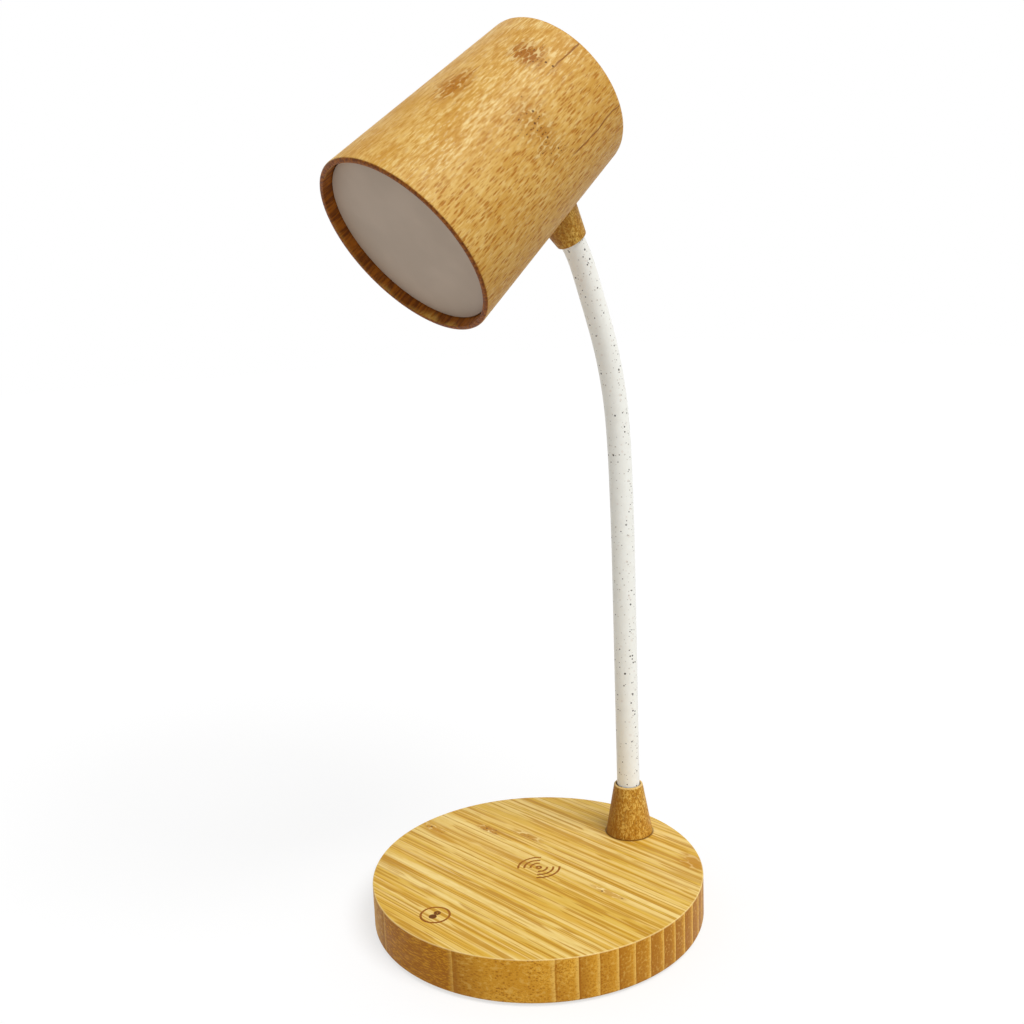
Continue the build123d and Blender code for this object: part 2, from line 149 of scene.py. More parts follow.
class Finish(Tree):
    def __init__(self, name):
        self.material = bpy.data.materials.new(name)
        self.material.use_nodes = True
        super().__init__(self.material.node_tree)

    def place(self):
        return self.node("ShaderNodeTexCoord", output="Object")

    def restPlace(self):
        return self.node("ShaderNodeAttribute", output="Vector", attribute_name="restPlace")

    def facing(self, direction):
        # 1 where the surface faces that way, -1 where it faces the other way
        return self.dot(self.node("ShaderNodeTexCoord", output="Normal"), direction)

    def dot(self, vector, direction):
        return self.vector("DOT_PRODUCT", vector, direction, output="Value")

    def length(self, vector):
        return self.vector("LENGTH", vector, output="Value")

    def fromAxis(self, place):
        # in mm, from the upright line through the place's zero
        return self.length(self.vector("MULTIPLY", place, (1.0 / mm, 1.0 / mm, 0.0)))

    def smooth(self, value, start, end):
        # 0 at the start and 1 at the end, whichever of the two is higher
        limits = {"Value": value, "From Min": start, "From Max": end}
        return self.node("ShaderNodeMapRange", limits, interpolation_type="SMOOTHSTEP")

    def near(self, value, line, start, end):
        # as smooth, with both limits counted from a line
        return self.smooth(value, line + start, line + end)

    def most(self, first, second):
        return self.maths("MAXIMUM", first, second)

    def wave(self, value, length):
        return self.maths("SINE", value * (2.0 * math.pi / length)) * 0.5 + 0.5

    def mix(self, share, first, second):
        return self.node("ShaderNodeMix", {0: share, 6: first, 7: second}, output=2, data_type="RGBA")

    def tones(self, field, look, start=0.3, end=0.7):
        return self.mix(self.smooth(field, start, end), look["light"], look["dark"])

    def noise(self, place, scale, detail=2.0, roughness=0.5, distortion=0.0):
        values = {"Scale": scale, "Detail": detail, "Roughness": roughness, "Distortion": distortion}
        return self.node("ShaderNodeTexNoise", dict(values, Vector=place))

    def cells(self, place, scale, output="Distance"):
        return self.node("ShaderNodeTexVoronoi", {"Vector": place, "Scale": scale}, output)

    def luck(self, place, scale):
        # a number for each cell
        return self.node("ShaderNodeSeparateColor", {"Color": self.cells(place, scale, "Color")})

    def chance(self, number):
        return self.node("ShaderNodeTexWhiteNoise", {"W": number}, noise_dimensions="1D")

    def done(self, colour, grain, height, look):
        # rough is a middle and a spread, bump a strength and a depth in mm
        rough, spread = look["rough"]
        strength, depth = look["bump"]
        bump = {"Height": height, "Strength": strength, "Distance": depth * mm}
        shader = self.node("ShaderNodeBsdfPrincipled", {
            "Base Color": colour, "Normal": self.node("ShaderNodeBump", bump),
            "Metallic": look.get("metal", 0.0), "Roughness": rough + (grain - 0.5) * spread,
            "Specular IOR Level": look.get("gloss", 0.5),
        })
        self.node("ShaderNodeOutputMaterial", {"Surface": shader})
        return self.material


# Bamboo: fibres run one way through a piece, and lengths are in millimetres along and across them

bamboo = {
    "ways": ("along", "across", "deep"), "wander": (0.018, 0.09, 0.09),
    "markCells": (0.45, 1.0, 1.0), "markStain": (1.0, 0.25), "markInner": (0.9, 0.4),
    "fleck": (0.58, 0.78), "fleckHeight": 0.3, "hole": (0.22, 0.12), "pitFloor": 0.5,
}


class Bamboo(Finish):
    def __init__(self, name, look):
        super().__init__(name)
        self.look = look
        self.spot = self.place()
        ways = [self.dot(self.spot, [c / mm for c in look[way]]) for way in bamboo["ways"]]
        bent = self.noise(self.vector("MULTIPLY", self.combine(*ways), bamboo["wander"]), 1.0, 1.0)
        ways[1] = ways[1] + (bent - 0.5) * look["wander"]
        self.fibre = self.combine(*ways)
        self.known = dict(zip(bamboo["ways"], ways))

    def field(self, name, shift=(0.0, 0.0, 0.0)):
        # noise in the fibres: its stretch along, across and deep, scale, detail, roughness, distortion
        stretch, *settings = self.look["fields"][name]
        self.known[name] = self.noise(self.vector("MULTIPLY_ADD", self.fibre, stretch, shift), *settings)

    def dashes(self, name, shift=0.0):
        # strands cut at a slant: long cells, 1 in their dark middles
        look = self.look[name]
        stretch = (1.0 / look["length"], 1.0, look["sunk"])
        place = self.vector("MULTIPLY_ADD", self.fibre, stretch, (shift / look["length"], 0.0, 0.0))
        width = (0.5 + 0.5 * self.luck(place, look["perMm"])) * look["width"]
        return self.smooth(self.cells(place, look["perMm"]), width, width * look["core"])

    def layered(self, colour, name):
        # tints over one another; a row is the tint, its share and the fields that let it show
        for tint, share, *parts in self.look["layers"][name]:
            if isinstance(share, tuple):
                least, more, field = share
                share = least + more * self.known[field]
            for field, *limits in parts:
                value = self.known[field]
                share = (self.smooth(value, *limits) if limits else value) * share
            colour = self.mix(share, colour, self.look[tint])
        return colour

    def away(self, place):
        return self.vector("DISTANCE", self.spot, Vector(place) * mm, output="Value") / mm

    def pitted(self, colour, height):
        # small dark holes at given places
        total, size = 0.0, self.look["pitSize"]
        for place in self.look["pits"]:
            total = self.most(self.smooth(self.away(place), size, size * bamboo["pitFloor"]), total)
        return self.mix(total * self.look["pitShare"], colour, self.look["pit"]), height - total

    def growthMarks(self, colour, height):
        # where a branch grew: a stain along the fibre, light flecks and fine holes in it
        for at, size, ragged, perMm, stain, flecked, holed, tint in self.look["marks"]:
            middle = [Vector(at).dot(Vector(self.look[way])) for way in bamboo["ways"]]
            away = self.length(self.vector("DIVIDE", self.vector("SUBTRACT", self.fibre, middle), size))
            away = away + (self.known["streak"] - 0.5) * ragged
            inner = self.smooth(away, *bamboo["markInner"])
            cells = self.cells(self.vector("MULTIPLY", self.fibre, bamboo["markCells"]), perMm)
            fleck = self.smooth(cells, *bamboo["fleck"]) * inner
            hole = self.smooth(cells, *bamboo["hole"]) * inner * holed
            colour = self.mix(self.smooth(away, *bamboo["markStain"]) * stain, colour, tint)
            colour = self.mix(fleck * flecked, colour, self.look["pale"])
            colour = self.mix(hole, colour, self.look["pit"])
            height = height - hole + fleck * bamboo["fleckHeight"]
        return colour, height


# Turned pieces: an outline of (radius, height) or (radius, height, rounding) swept round its axis

creases = {"turned": 32.0, "shaped": 40.0}  # edges sharper than this many degrees stay hard


def softened(outline, steps=5):
    points = []
    for index, (radius, height, rounding) in enumerate(outline):
        corner = Vector((radius, height))
        if not rounding:
            points.append(corner)
            continue
        before = Vector(outline[index - 1][:2]) - corner
        after = Vector(outline[(index + 1) % len(outline)][:2]) - corner
        turn = before.angle(after)
        reach = rounding / math.tan(turn / 2)
        before, after = before.normalized(), after.normalized()
        middle = corner + (before + after).normalized() * rounding / math.sin(turn / 2)
        start = corner + before * reach - middle
        end = corner + after * reach - middle
        for step in range(steps + 1):
            points.append(middle + start.slerp(end, step / steps).normalized() * rounding)
    return points


def shaded(mesh, crease):
    mesh.shade_smooth()
    mesh.set_sharp_from_angle(angle=math.radians(crease))


def meshObject(name, vertices, faces, place=Matrix.Identity(4)):
    mesh = bpy.data.meshes.new(name)
    mesh.from_pydata(vertices, [], faces)
    mesh.transform(place)
    tidy = bmesh.new()
    tidy.from_mesh(mesh)
    bmesh.ops.recalc_face_normals(tidy, faces=tidy.faces)
    tidy.to_mesh(mesh)
    tidy.free()
    shaded(mesh, creases["turned"])
    return linked(name, mesh)


def plainMesh(piece, crease=creases["shaped"]):
    # what the modifiers make becomes the piece's own mesh
    bpy.context.view_layer.update()
    graph = bpy.context.evaluated_depsgraph_get()
    mesh = bpy.data.meshes.new_from_object(piece.evaluated_get(graph))
    mesh.name = piece.name
    piece.modifiers.clear()
    piece.data = mesh
    shaded(mesh, crease)
    return piece


def turned(name, outline, sides, place=Matrix.Identity(4)):
    vertices, rings, faces = [], [], []
    for radius, height in softened([(*point, 0.0)[:3] for point in outline]):
        first = len(vertices)
        count = sides if radius > 1e-6 else 1
        for step in range(count):
            angle = 2.0 * math.pi * step / sides
            vertices.append((radius * mm * math.cos(angle), radius * mm * math.sin(angle), height * mm))
        rings.append(list(range(first, first + count)))
    for low, high in zip(rings, rings[1:] + rings[:1]):
        for step in range(sides):
            after = (step + 1) % sides
            if len(low) > 1 and len(high) > 1:
                faces.append((low[step], low[after], high[after], high[step]))
            elif len(low) > 1:
                faces.append((low[step], low[after], high[0]))
            elif len(high) > 1:
                faces.append((low[0], high[after], high[step]))
    return meshObject(name, vertices, faces, place)


def cut(piece, tools):
    # takes the tools' shapes out of the piece, and the tools away
    for tool in tools:
        modifier = piece.modifiers.new("cut", "BOOLEAN")
        modifier.operation = "DIFFERENCE"
        modifier.solver = "EXACT"
        modifier.object = tool
    plainMesh(piece, creases["turned"])
    for tool in tools:
        bpy.data.objects.remove(tool)


def dress(piece, material, slot, body, *nodes):
    piece.data.materials.clear()
    piece.data.materials.append(material)
    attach(piece, body)
    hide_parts(*nodes)
    return piece


# Where the neck and the head are, from the joints of the frame and the head's own sizes

neck = {
    "mouth": 5.2, "lean": 35.0, "shown": 12.2, "behindRim": 61.7, "pitch": 38.3, "socket": 5.7,
    "bottom": 33.5, "outside": 4.65, "wall": 0.85, "sides": 48, "steps": 22, "bow": 0.62,
    "lastBow": 0.85, "blend": 9.0, "headBlend": 5.2,
}
head = {
    "front": 36.3, "back": 30.5, "length": 87.0, "rimWall": 2.0, "backRound": 2.6,
    "frontRound": 1.0, "innerRound": 0.3, "ledge": 6.0, "chamber": 31.5, "chamberEnd": 26.6,
    "cavity": 27.0, "backWall": 8.0, "washer": 8.0, "washerSeat": 27.5, "bore": 4.1, "sides": 288,
}

pivots = [Vector(joint["pos_m"]) for joint in frame["joints"]]
lean = math.radians(neck["lean"])
pitch = math.radians(neck["pitch"])
sideways = Vector((1.0, 0.0, 0.0))
upright = Vector((0.0, 0.0, 1.0))
rise = Vector((0.0, -math.sin(lean), math.cos(lean)))
shine = Vector((0.0, -math.cos(pitch), -math.sin(pitch)))
square = Vector((0.0, -math.sin(pitch), math.cos(pitch)))
mouth = pivots[-1] + rise * neck["mouth"] * mm


def headRadius(depth):
    return head["front"] + (head["back"] - head["front"]) * depth / head["length"]


seat = headRadius(neck["behindRim"]) / math.cos(pitch - lean)
headMiddle = mouth + rise * (seat + neck["shown"]) * mm
headFront = headMiddle + shine * neck["behindRim"] * mm


def standing(origin, up):
    # a frame whose Z axis is up and whose X axis stays the world's X
    made = Matrix((sideways, up.cross(sideways), up)).transposed().to_4x4()
    made.translation = origin
    return made


headPlace = standing(headFront, shine)


# Base

base = {
    "radius": 65.0, "bottom": 1.0, "top": 18.0, "wall": 11.0, "roof": 14.0, "ledge": 6.0,
    "ledgeGap": 0.3, "cover": 3.0, "topRound": 0.4, "bottomRound": 1.2, "neck": 49.0, "bore": 4.1,
    "pocket": (16.4, 35.2, 62.2, 7.3),  # width, start, end and floor
    "slot": (9.34, 3.66),  # width and height
    "recess": (13.0, 7.2, 0.9),  # width, height and depth
    "inletHeight": 10.83, "turn": 7.4, "sides": 288, "toolSides": 64,
    "past": 1.0,  # how far a cutting tool reaches past what it cuts
}


def lozenge(name, width, height, back, front, level, steps=16):
    # a rounded slot, drawn in the XZ plane and standing along Y
    points = []
    for side in (1, -1):
        for step in range(steps + 1):
            angle = math.pi * (step / steps - 0.5)
            x = side * ((width - height) / 2 + math.cos(angle) * height / 2)
            points.append((x, side * math.sin(angle) * height / 2 + level))
    count = len(points)
    vertices = [(x * mm, y * mm, z * mm) for y in (back, front) for x, z in points]
    faces = [tuple(range(count)), tuple(range(count, 2 * count))]
    for step in range(count):
        after = (step + 1) % count
        faces.append((step, after, count + after, count + step))
    return meshObject(name, vertices, faces)


def boxTool(name, low, high):
    xs, ys, zs = zip(low, high)
    vertices = [(x * mm, y * mm, z * mm) for x in xs for y in ys for z in zs]
    faces = [(0, 1, 3, 2), (4, 6, 7, 5), (0, 4, 5, 1), (2, 3, 7, 6), (0, 2, 6, 4), (1, 5, 7, 3)]
    return meshObject(name, vertices, faces)


def rodTool(name, radius, low, high, place):
    return turned(name, [(0, low), (radius, low), (radius, high), (0, high)], base["toolSides"], place)


fibreTurn = math.radians(base["turn"])
baseWood = {
    "along": (math.cos(fibreTurn), math.sin(fibreTurn), 0.0),
    "across": (-math.sin(fibreTurn), math.cos(fibreTurn), 0.0), "deep": tuple(upright),
    "wander": 0.5, "stripStart": -1.35, "stripWidth": 6.75, "seed": 3.0, "flippedSeed": (1.7, 11.0),
    "apart": 7.31,
    "faintJoints": (-7.5, -8.5),  # the seam and the pale line that hardly show
    "faintReach": (0.7, 1.3), "faint": 0.12, "seamAt": 0.04, "seamWidth": (0.07, 0.01),
    # edge, edgeLevel and edgeShare place a painted highlight on the top's rounded edge; the two entries after
    # edgeShare place a painted shadow round the collar's foot
    "endsOn": (0.75, 0.4), "skin": (61.7, 62.8), "edge": (-0.5, -0.25), "edgeLevel": (-0.5, -0.2),
    "edgeShare": 0.4, "collarFootShadow": (0.8, 0.1), "collarFootShadowShare": 0.7, "light": (0.80, 0.56, 0.165),
    "middle": (0.72, 0.470, 0.084), "warm": (0.66, 0.365, 0.030), "dark": (0.46, 0.210, 0.006),
    # the last colour on the next line is the painted highlight on the top's edge
    "pale": (0.90, 0.70, 0.29), "joint": (0.50, 0.235, 0.012), "edgeHighlight": (0.90, 0.72, 0.34),
    "endLight": (0.80, 0.43, 0.050), "endDark": (0.60, 0.265, 0.012),
    "endDeep": (0.36, 0.125, 0.003), "endPale": (0.88, 0.57, 0.14),
    "skinLight": (0.64, 0.285, 0.010), "skinDark": (0.41, 0.142, 0.002),
    "pit": (0.10, 0.035, 0.005),
    "fields": {
        "streak": ((0.02, 1.0, 0.5), 0.55, 1.0, 0.6), "line": ((0.012, 1.0, 0.5), 0.33, 1.0),
        "band": ((0.016, 1.0, 0.4), 0.22, 1.0), "broken": ((0.05, 0.4, 0.35), 1.0, 1.0),
        "cloud": ((0.4, 1.0, 1.0), 0.07), "fine": ((0.2, 1.0, 1.0), 0.9, 1.0),
        "grain": ((0.6, 1.0, 1.0), 1.7, 2.0, 0.65, 0.8),
        "sliver": ((0.16, 1.0, 1.0), 2.1, 2.0, 0.6),
    },
    "ownFields": {"streak": 0.0, "line": 20.0, "band": 40.0, "broken": 0.0},  # different in each strip
    "strandEnds": ((0.25, 1.0, 1.0), 1.05),
    "layers": {
        "top": [
            ("middle", 1.0, ("streak", 0.45, 0.54)),
            ("warm", 0.65, ("band", 0.53, 0.60)),
            ("pale", 0.50, ("band", 0.46, 0.40)),
            ("dark", 0.60, ("streak", 0.58, 0.63), ("broken", 0.40, 0.55)),
            ("dark", 0.85, ("line", 0.065, 0.012), ("broken", 0.36, 0.46)),
            ("pale", 0.45, ("streak", 0.40, 0.35)),
            ("warm", 0.20, ("cloud", 0.50, 0.68)),
            ("warm", 0.28, ("tone",)),
            ("warm", 0.25, ("fine", 0.50, 0.70)),
            ("joint", (0.15, 0.7, "flipped"), ("seam",)),
        ],
        "ends": [
            ("endDark", 1.0, ("grain", 0.42, 0.58)),
            ("endDark", 0.45, ("tone",)),
            ("endDark", 0.60, ("cloud", 0.42, 0.58)),
            ("endDeep", (0.3, 0.4, "flipped"), ("share", 0.85, 0.0), ("whole",)),
            ("endPale", 0.55, ("share", 0.78, 0.98), ("wholeAbove",)),
            ("endDeep", 0.70, ("share", 1.0, 0.5), ("across", -38.0, 5.0)),
            ("endDeep", (0.35, 0.5, "crowd"), ("strandEnds", 0.38, 0.20)),
            ("endPale", 0.30, ("strandEnds", 0.66, 0.82)),
            ("endDeep", (0.3, 0.5, "flipped"), ("seam",)),
        ],
        "skin": [("skinLight", 1.0, ("sliver", 0.45, 0.66))],
    },
    # middle, size, raggedness, cells to a mm, shares of stain, flecks and holes, and the stain's colour
    "marks": [
        ((-56.0, -12.6, 18.0), (10.0, 3.2, 4.0), 1.0, 0.8, 0.75, 0.6, 0.9, (0.50, 0.22, 0.008)),
        ((-48.0, -14.2, 18.0), (15.0, 2.4, 4.0), 1.2, 0.8, 0.85, 0.0, 0.0, (0.55, 0.27, 0.012)),
        ((-39.5, 4.6, 18.0), (9.0, 3.0, 4.0), 1.0, 0.6, 0.85, 0.9, 0.8, (0.44, 0.18, 0.006)),
        ((-24.0, 13.6, 18.0), (13.0, 3.0, 4.0), 1.4, 0.6, 0.8, 0.7, 0.4, (0.46, 0.20, 0.008)),
        ((33.0, 8.0, 18.0), (10.0, 2.8, 4.0), 1.2, 0.6, 0.7, 0.9, 0.7, (0.50, 0.23, 0.010)),
        ((38.0, 49.0, 18.0), (10.0, 8.0, 4.0), 2.6, 0.5, 0.9, 0.4, 0.0, (0.50, 0.22, 0.010)),
    ],
    "pits": [(-58.4, -12.3, 18.0), (-41.2, 4.7, 18.0), (30.6, 7.4, 18.0)],
    "pitSize": 0.6, "pitShare": 0.85,
    "relief": {"fine": 0.25, "grain": 0.5, "seam": 0.2},
    "rough": (0.52, 0.3), "bump": (0.5, 0.12), "gloss": 0.18,
}


def bambooBase():
    look = baseWood
    wood = Bamboo("bambooBase", look)
    known = wood.known

    # strips side by side, glued, each with its own tone
    count = (known["across"] - look["stripStart"]) / look["stripWidth"]
    strip = wood.maths("FLOOR", count)
    share = count - strip
    reach = look["faintReach"]
    shown, wholeAbove = [wood.smooth(abs(strip - joint), *reach) for joint in look["faintJoints"]]
    whole = look["faint"] + (1.0 - look["faint"]) * shown
    seam = wood.smooth(abs(share - look["seamAt"]), *look["seamWidth"]) * whole
    known.update(share=share, whole=whole, wholeAbove=wholeAbove, seam=seam)
    known["tone"] = 0.5 + (wood.chance(strip + look["seed"]) - 0.5) * whole
    factor, added = look["flippedSeed"]
    known["flipped"] = wood.chance(strip * factor + look["seed"] + added)
    known["crowd"] = wood.smooth(share, 1.0, 0.0)
    for name in look["fields"]:
        if name in look["ownFields"]:
            own = strip * look["apart"] + look["ownFields"][name]
            wood.field(name, wood.combine(0.0, 0.0, own))
        else:
            wood.field(name)
    known["line"] = abs(known["line"] - 0.5)
    stretch, perMm = look["strandEnds"]
    known["strandEnds"] = wood.cells(wood.vector("MULTIPLY", wood.fibre, stretch), perMm)

    # streaks and lines above, strand ends round the side, and dark skin on the outermost strips
    side = wood.smooth(abs(wood.facing(look["deep"])), *look["endsOn"])
    ends = wood.layered(look["endLight"], "ends")
    skin = wood.layered(look["skinDark"], "skin")
    ends = wood.mix(wood.smooth(abs(known["across"]), *look["skin"]), ends, skin)
    colour = wood.mix(side, wood.layered(look["light"], "top"), ends)
    relief = look["relief"]
    height = known["fine"] * relief["fine"] + known["grain"] * side * relief["grain"] - seam * relief["seam"]
    colour, height = wood.pitted(*wood.growthMarks(colour, height))

    # a painted highlight along the top's rounded edge, and a painted shadow round the collar's foot
    edge = wood.near(wood.fromAxis(wood.spot), base["radius"], *look["edge"])
    edge = edge * wood.near(known["deep"], base["top"], *look["edgeLevel"])
    colour = wood.mix(edge * look["edgeShare"], colour, look["edgeHighlight"])
    collarFootShadow = wood.near(wood.away((0.0, base["neck"], base["top"])), collar["big"], *look["collarFootShadow"])
    colour = wood.mix(collarFootShadow * look["collarFootShadowShare"], colour, look["pit"])
    return wood.done(colour, known["fine"], height, look)


def makeBase():
    cavity = base["radius"] - base["wall"]
    coverEdge = cavity + base["ledge"] + base["ledgeGap"]
    block = turned("baseBlock", [
        (0, base["top"]),
        (base["radius"], base["top"], base["topRound"]),
        (base["radius"], base["bottom"], base["bottomRound"]),
        (coverEdge, base["bottom"]),
        (coverEdge, base["cover"]),
        (cavity, base["cover"]),
        (cavity, base["roof"]),
        (0, base["roof"]),
    ], base["sides"])
    width, start, end, low = base["pocket"]
    past = base["past"]
    outside = base["radius"] + past
    neckPlace = Matrix.Translation((0.0, base["neck"] * mm, 0.0))
    recessStart = base["radius"] - base["recess"][2]
    cut(block, [
        boxTool("pocket", (-width / 2, start, low), (width / 2, end, base["roof"])),
        lozenge("slot", *base["slot"], end - past, outside, base["inletHeight"]),
        lozenge("recess", *base["recess"][:2], recessStart, outside, base["inletHeight"]),
        rodTool("bore", base["bore"], base["roof"] - past, base["top"] + past, neckPlace),
    ])
    dress(block, bambooBase(), "bamboo_base", "base", "base_block")


# Head and its diffuser

headWood = {
    "along": tuple(shine), "across": tuple(square), "deep": tuple(sideways), "wander": 1.2,
    "light": (0.74, 0.465, 0.130), "middle": (0.65, 0.365, 0.078), "warm": (0.58, 0.290, 0.038),
    "pale": (0.88, 0.67, 0.29), "strand": (0.42, 0.150, 0.006), "mottle": (0.50, 0.225, 0.018),
    # rim and rimLight darken the rim: end grain on its front face, painted shade on its inner wall
    "joint": (0.26, 0.085, 0.006), "rim": (0.150, 0.036, 0.001), "rimLight": (0.34, 0.100, 0.004),
    "endLight": (0.62, 0.34, 0.060), "endDark": (0.42, 0.19, 0.020), "pit": (0.10, 0.030, 0.003),
    "dash": {"length": 4.8, "perMm": 1.15, "width": 0.6, "core": 0.42, "sunk": 0.4},
    "finer": {"length": 6.0, "perMm": 1.7, "width": 0.6, "core": 0.4, "sunk": 0.4},
    "finerShift": 31.0, "finerShare": 0.55, "bare": (0.28, 0.38), "upperBare": 0.65,
    "upper": {"height": (8.0, 22.0), "ragged": 24.0, "slope": 0.1, "level": 45.0},
    "creamy": (33.0, 25.0),
    "joints": {"at": {-9.0: 50.0, 16.0: 64.0}, "opening": 12.0, "wave": 4.0, "width": (0.45, 0.12)},
    "jointShare": (0.06, 0.84), "backOn": (-0.35, -0.75), "frontOn": (0.3, 0.65),
    "rimDepth": (9.0, 8.0), "rimInner": (0.15, -0.1),
    "fields": {
        "cloud": ((0.5, 1.0, 1.0), 0.075), "streak": ((0.06, 1.0, 1.0), 0.8, 3.0, 0.6),
        "grain": ((0.22, 1.0, 1.0), 1.2, 2.5, 0.6, 0.15),
        "patch": ((0.35, 1.0, 1.0), 0.2, 2.0, 0.6), "rimMottle": ((0.1, 1.0, 1.0), 0.9),
    },
    "layers": {
        "side": [
            ("middle", 1.0, ("streak", 0.40, 0.60)),
            ("warm", 0.45, ("cloud", 0.48, 0.66)),
            ("warm", (0.2, 0.4, "upper"), ("patch", 0.50, 0.64)),
            ("warm", 0.45, ("above", 8.0, -22.0)),
            ("warm", (0.5, -0.35, "upper"), ("depth", 55.0, 84.0)),
            ("mottle", (0.3, 0.35, "upper"), ("grain", 0.52, 0.66)),
            ("pale", (0.3, 0.35, "creamy"), ("grain", 0.47, 0.36)),
            ("pale", 0.40, ("patch", 0.52, 0.40), ("grain", 0.56, 0.44), ("creamy",)),
            ("strand", 0.85, ("dash",)),
            ("joint", 1.0, ("seam",)),
        ],
        "back": [("endDark", 1.0, ("grain", 0.42, 0.60))],
        "rim": [("rimLight", 1.0, ("rimMottle", 0.35, 0.65))],
    },
    # columns as for the base
    "marks": [
        ((21.5, -7.1, 319.6), (8.0, 7.0, 11.0), 2.0, 0.9, 1.0, 0.65, 1.0, (0.36, 0.125, 0.004)),
        ((13.0, -31.5, 309.6), (12.0, 5.5, 9.0), 2.0, 0.9, 1.0, 0.6, 0.5, (0.42, 0.160, 0.005)),
        ((3.0, -43.5, 305.5), (10.0, 4.5, 12.0), 1.6, 0.6, 0.7, 0.0, 0.0, (0.56, 0.27, 0.014)),
        ((31.0, -12.0, 294.0), (9.0, 15.0, 10.0), 3.2, 0.95, 0.65, 0.6, 0.9, (0.40, 0.155, 0.006)),
    ],
    "pits": [
        (30.7, -13.0, 300.1), (31.9, -13.3, 296.2), (33.0, -9.0, 291.9), (33.0, -4.5, 288.6),
        (25.7, -3.0, 316.7), (27.1, -1.2, 315.4), (20.0, -9.0, 321.0), (28.3, -15.5, 305.0),
    ],
    "pitSize": 0.55, "pitShare": 0.9,
    "relief": {"grain": 0.35, "dash": 0.8},
    "rough": (0.5, 0.3), "bump": (0.6, 0.16), "gloss": 0.18,
}


def bambooHead():
    look = headWood
    wood = Bamboo("bambooHead", look)
    known = wood.known
    for name in look["fields"]:
        wood.field(name)
    grain, patch = known["grain"], known["patch"]

    # places from the middle of the head's front
    middle = headFront / mm
    above = known["across"] - middle.dot(square)
    depth = middle.dot(shine) - known["along"]
    radius = wood.length(wood.combine(above, known["deep"] - middle.x, 0.0))

    # the upper part is sawn near the pith: pale, mottled, with few strands; dashes crowd lower down
    part = look["upper"]
    ragged = (known["cloud"] - 0.5) * part["ragged"]
    upper = wood.smooth(above + ragged + (depth - part["level"]) * part["slope"], *part["height"])
    creamy = upper * wood.smooth(above, *look["creamy"])
    finer = wood.dashes("finer", look["finerShift"]) * look["finerShare"]
    dash = wood.most(wood.dashes("dash"), finer)
    dash = dash * wood.smooth(patch, *look["bare"]) * (1.0 - upper * look["upperBare"])

    # glue lines between the staves, open towards the back
    seam, joints = 0.0, look["joints"]
    least, more = look["jointShare"]
    for offset, start in joints["at"].items():
        off = abs(above + (patch - 0.5) * joints["wave"] - offset)
        parted = least + more * wood.smooth(depth, start, start + joints["opening"])
        seam = wood.most(wood.smooth(off, *joints["width"]) * parted, seam)

    known.update(above=above, depth=depth, upper=upper, creamy=creamy, dash=dash, seam=seam)
    colour = wood.layered(look["light"], "side")
    height = grain * look["relief"]["grain"] - dash * look["relief"]["dash"] - seam
    colour, height = wood.pitted(*wood.growthMarks(colour, height))

    # the back's cut ends, and the dark rim: darker end grain on its front face, and painted shade on the wall
    # in front of the diffuser
    endOn = wood.facing(look["along"])
    colour = wood.mix(wood.smooth(endOn, *look["backOn"]), colour, wood.layered(look["endLight"], "back"))
    inner = wood.near(radius, head["front"] - head["rimWall"], *look["rimInner"])
    rim = wood.most(inner, wood.smooth(endOn, *look["frontOn"])) * wood.smooth(depth, *look["rimDepth"])
    colour = wood.mix(rim, colour, wood.layered(look["rim"], "rim"))
    return wood.done(colour, grain, height, look)


def makeHead():
    depth = head["ledge"]
    ledgeWall = headRadius(depth) - head["rimWall"]
    back = head["length"] - head["backWall"]
    shell = turned("headShell", [
        (head["front"], 0.0, head["frontRound"]),
        (head["back"], -head["length"], head["backRound"]),
        (0.0, -head["length"]),
        (0.0, -back),
        (head["cavity"], -back),
        (head["cavity"], -head["chamberEnd"]),
        (head["chamber"], -head["chamberEnd"]),
        (head["chamber"], -depth),
        (ledgeWall, -depth),
        (head["front"] - head["rimWall"], 0.0, head["innerRound"]),
    ], head["sides"], headPlace)
    collarPlace = standing(headMiddle, -rise)
    cut(shell, [
        rodTool("bore", head["bore"], 0.0, head["front"], collarPlace),
        rodTool("washerSeat", head["washer"], 0.0, head["washerSeat"], collarPlace),
    ])
    dress(shell, bambooHead(), "bamboo_head", "head", "head_shell")


diffuser = {
    "gap": 0.2, "back": 6.0, "front": 4.0, "round": 0.3, "sides": 192,
    # the white opal gets a dim grey-beige colour: painted shade for the little light inside the head
    "light": (0.49, 0.388, 0.300), "dark": (0.45, 0.355, 0.272), "cloud": 60.0, "fleck": 2400.0,
    "rough": (0.55, 0.1), "bump": (0.15, 0.05), "gloss": 0.4,
}


def opalDiffuser():
    frost = Finish("opalDiffuser")
    place = frost.place()
    fleck = frost.noise(place, diffuser["fleck"])
    return frost.done(frost.tones(frost.noise(place, diffuser["cloud"]), diffuser), fleck, fleck, diffuser)


def makeDiffuser():
    radius = headRadius(head["ledge"]) - head["rimWall"] - diffuser["gap"]
    disc = turned("diffuserDisc", [
        (0, -diffuser["back"]),
        (radius, -diffuser["back"]),
        (radius, -diffuser["front"], diffuser["round"]),
        (0, -diffuser["front"]),
    ], diffuser["sides"], headPlace)
    dress(disc, opalDiffuser(), "diffuser_opal", "head", "diffuser")


# Collars: the lower one stands on the base, the upper one is coped to the head

collar = {
    "big": 9.7, "small": 5.9, "height": 21.2, "mouth": 5.0, "depth": 7.4, "bore": 4.1,
    "lowerRim": 0.4, "upperRim": 0.8, "cope": 9.0, "sides": 128, "copeSides": 576,
}


def collarOutline(shown, rim):
    # seen with its small end up, from the mouth's step at height 0
    slope = (collar["big"] - collar["small"]) / collar["height"]
    low = collar["depth"] - shown
    return [
        (collar["bore"], low),
        (collar["small"] + slope * shown, low),
        (collar["small"], collar["depth"], rim),
        (collar["mouth"], collar["depth"]),
        (collar["mouth"], 0.0),
        (collar["bore"], 0.0),
    ]


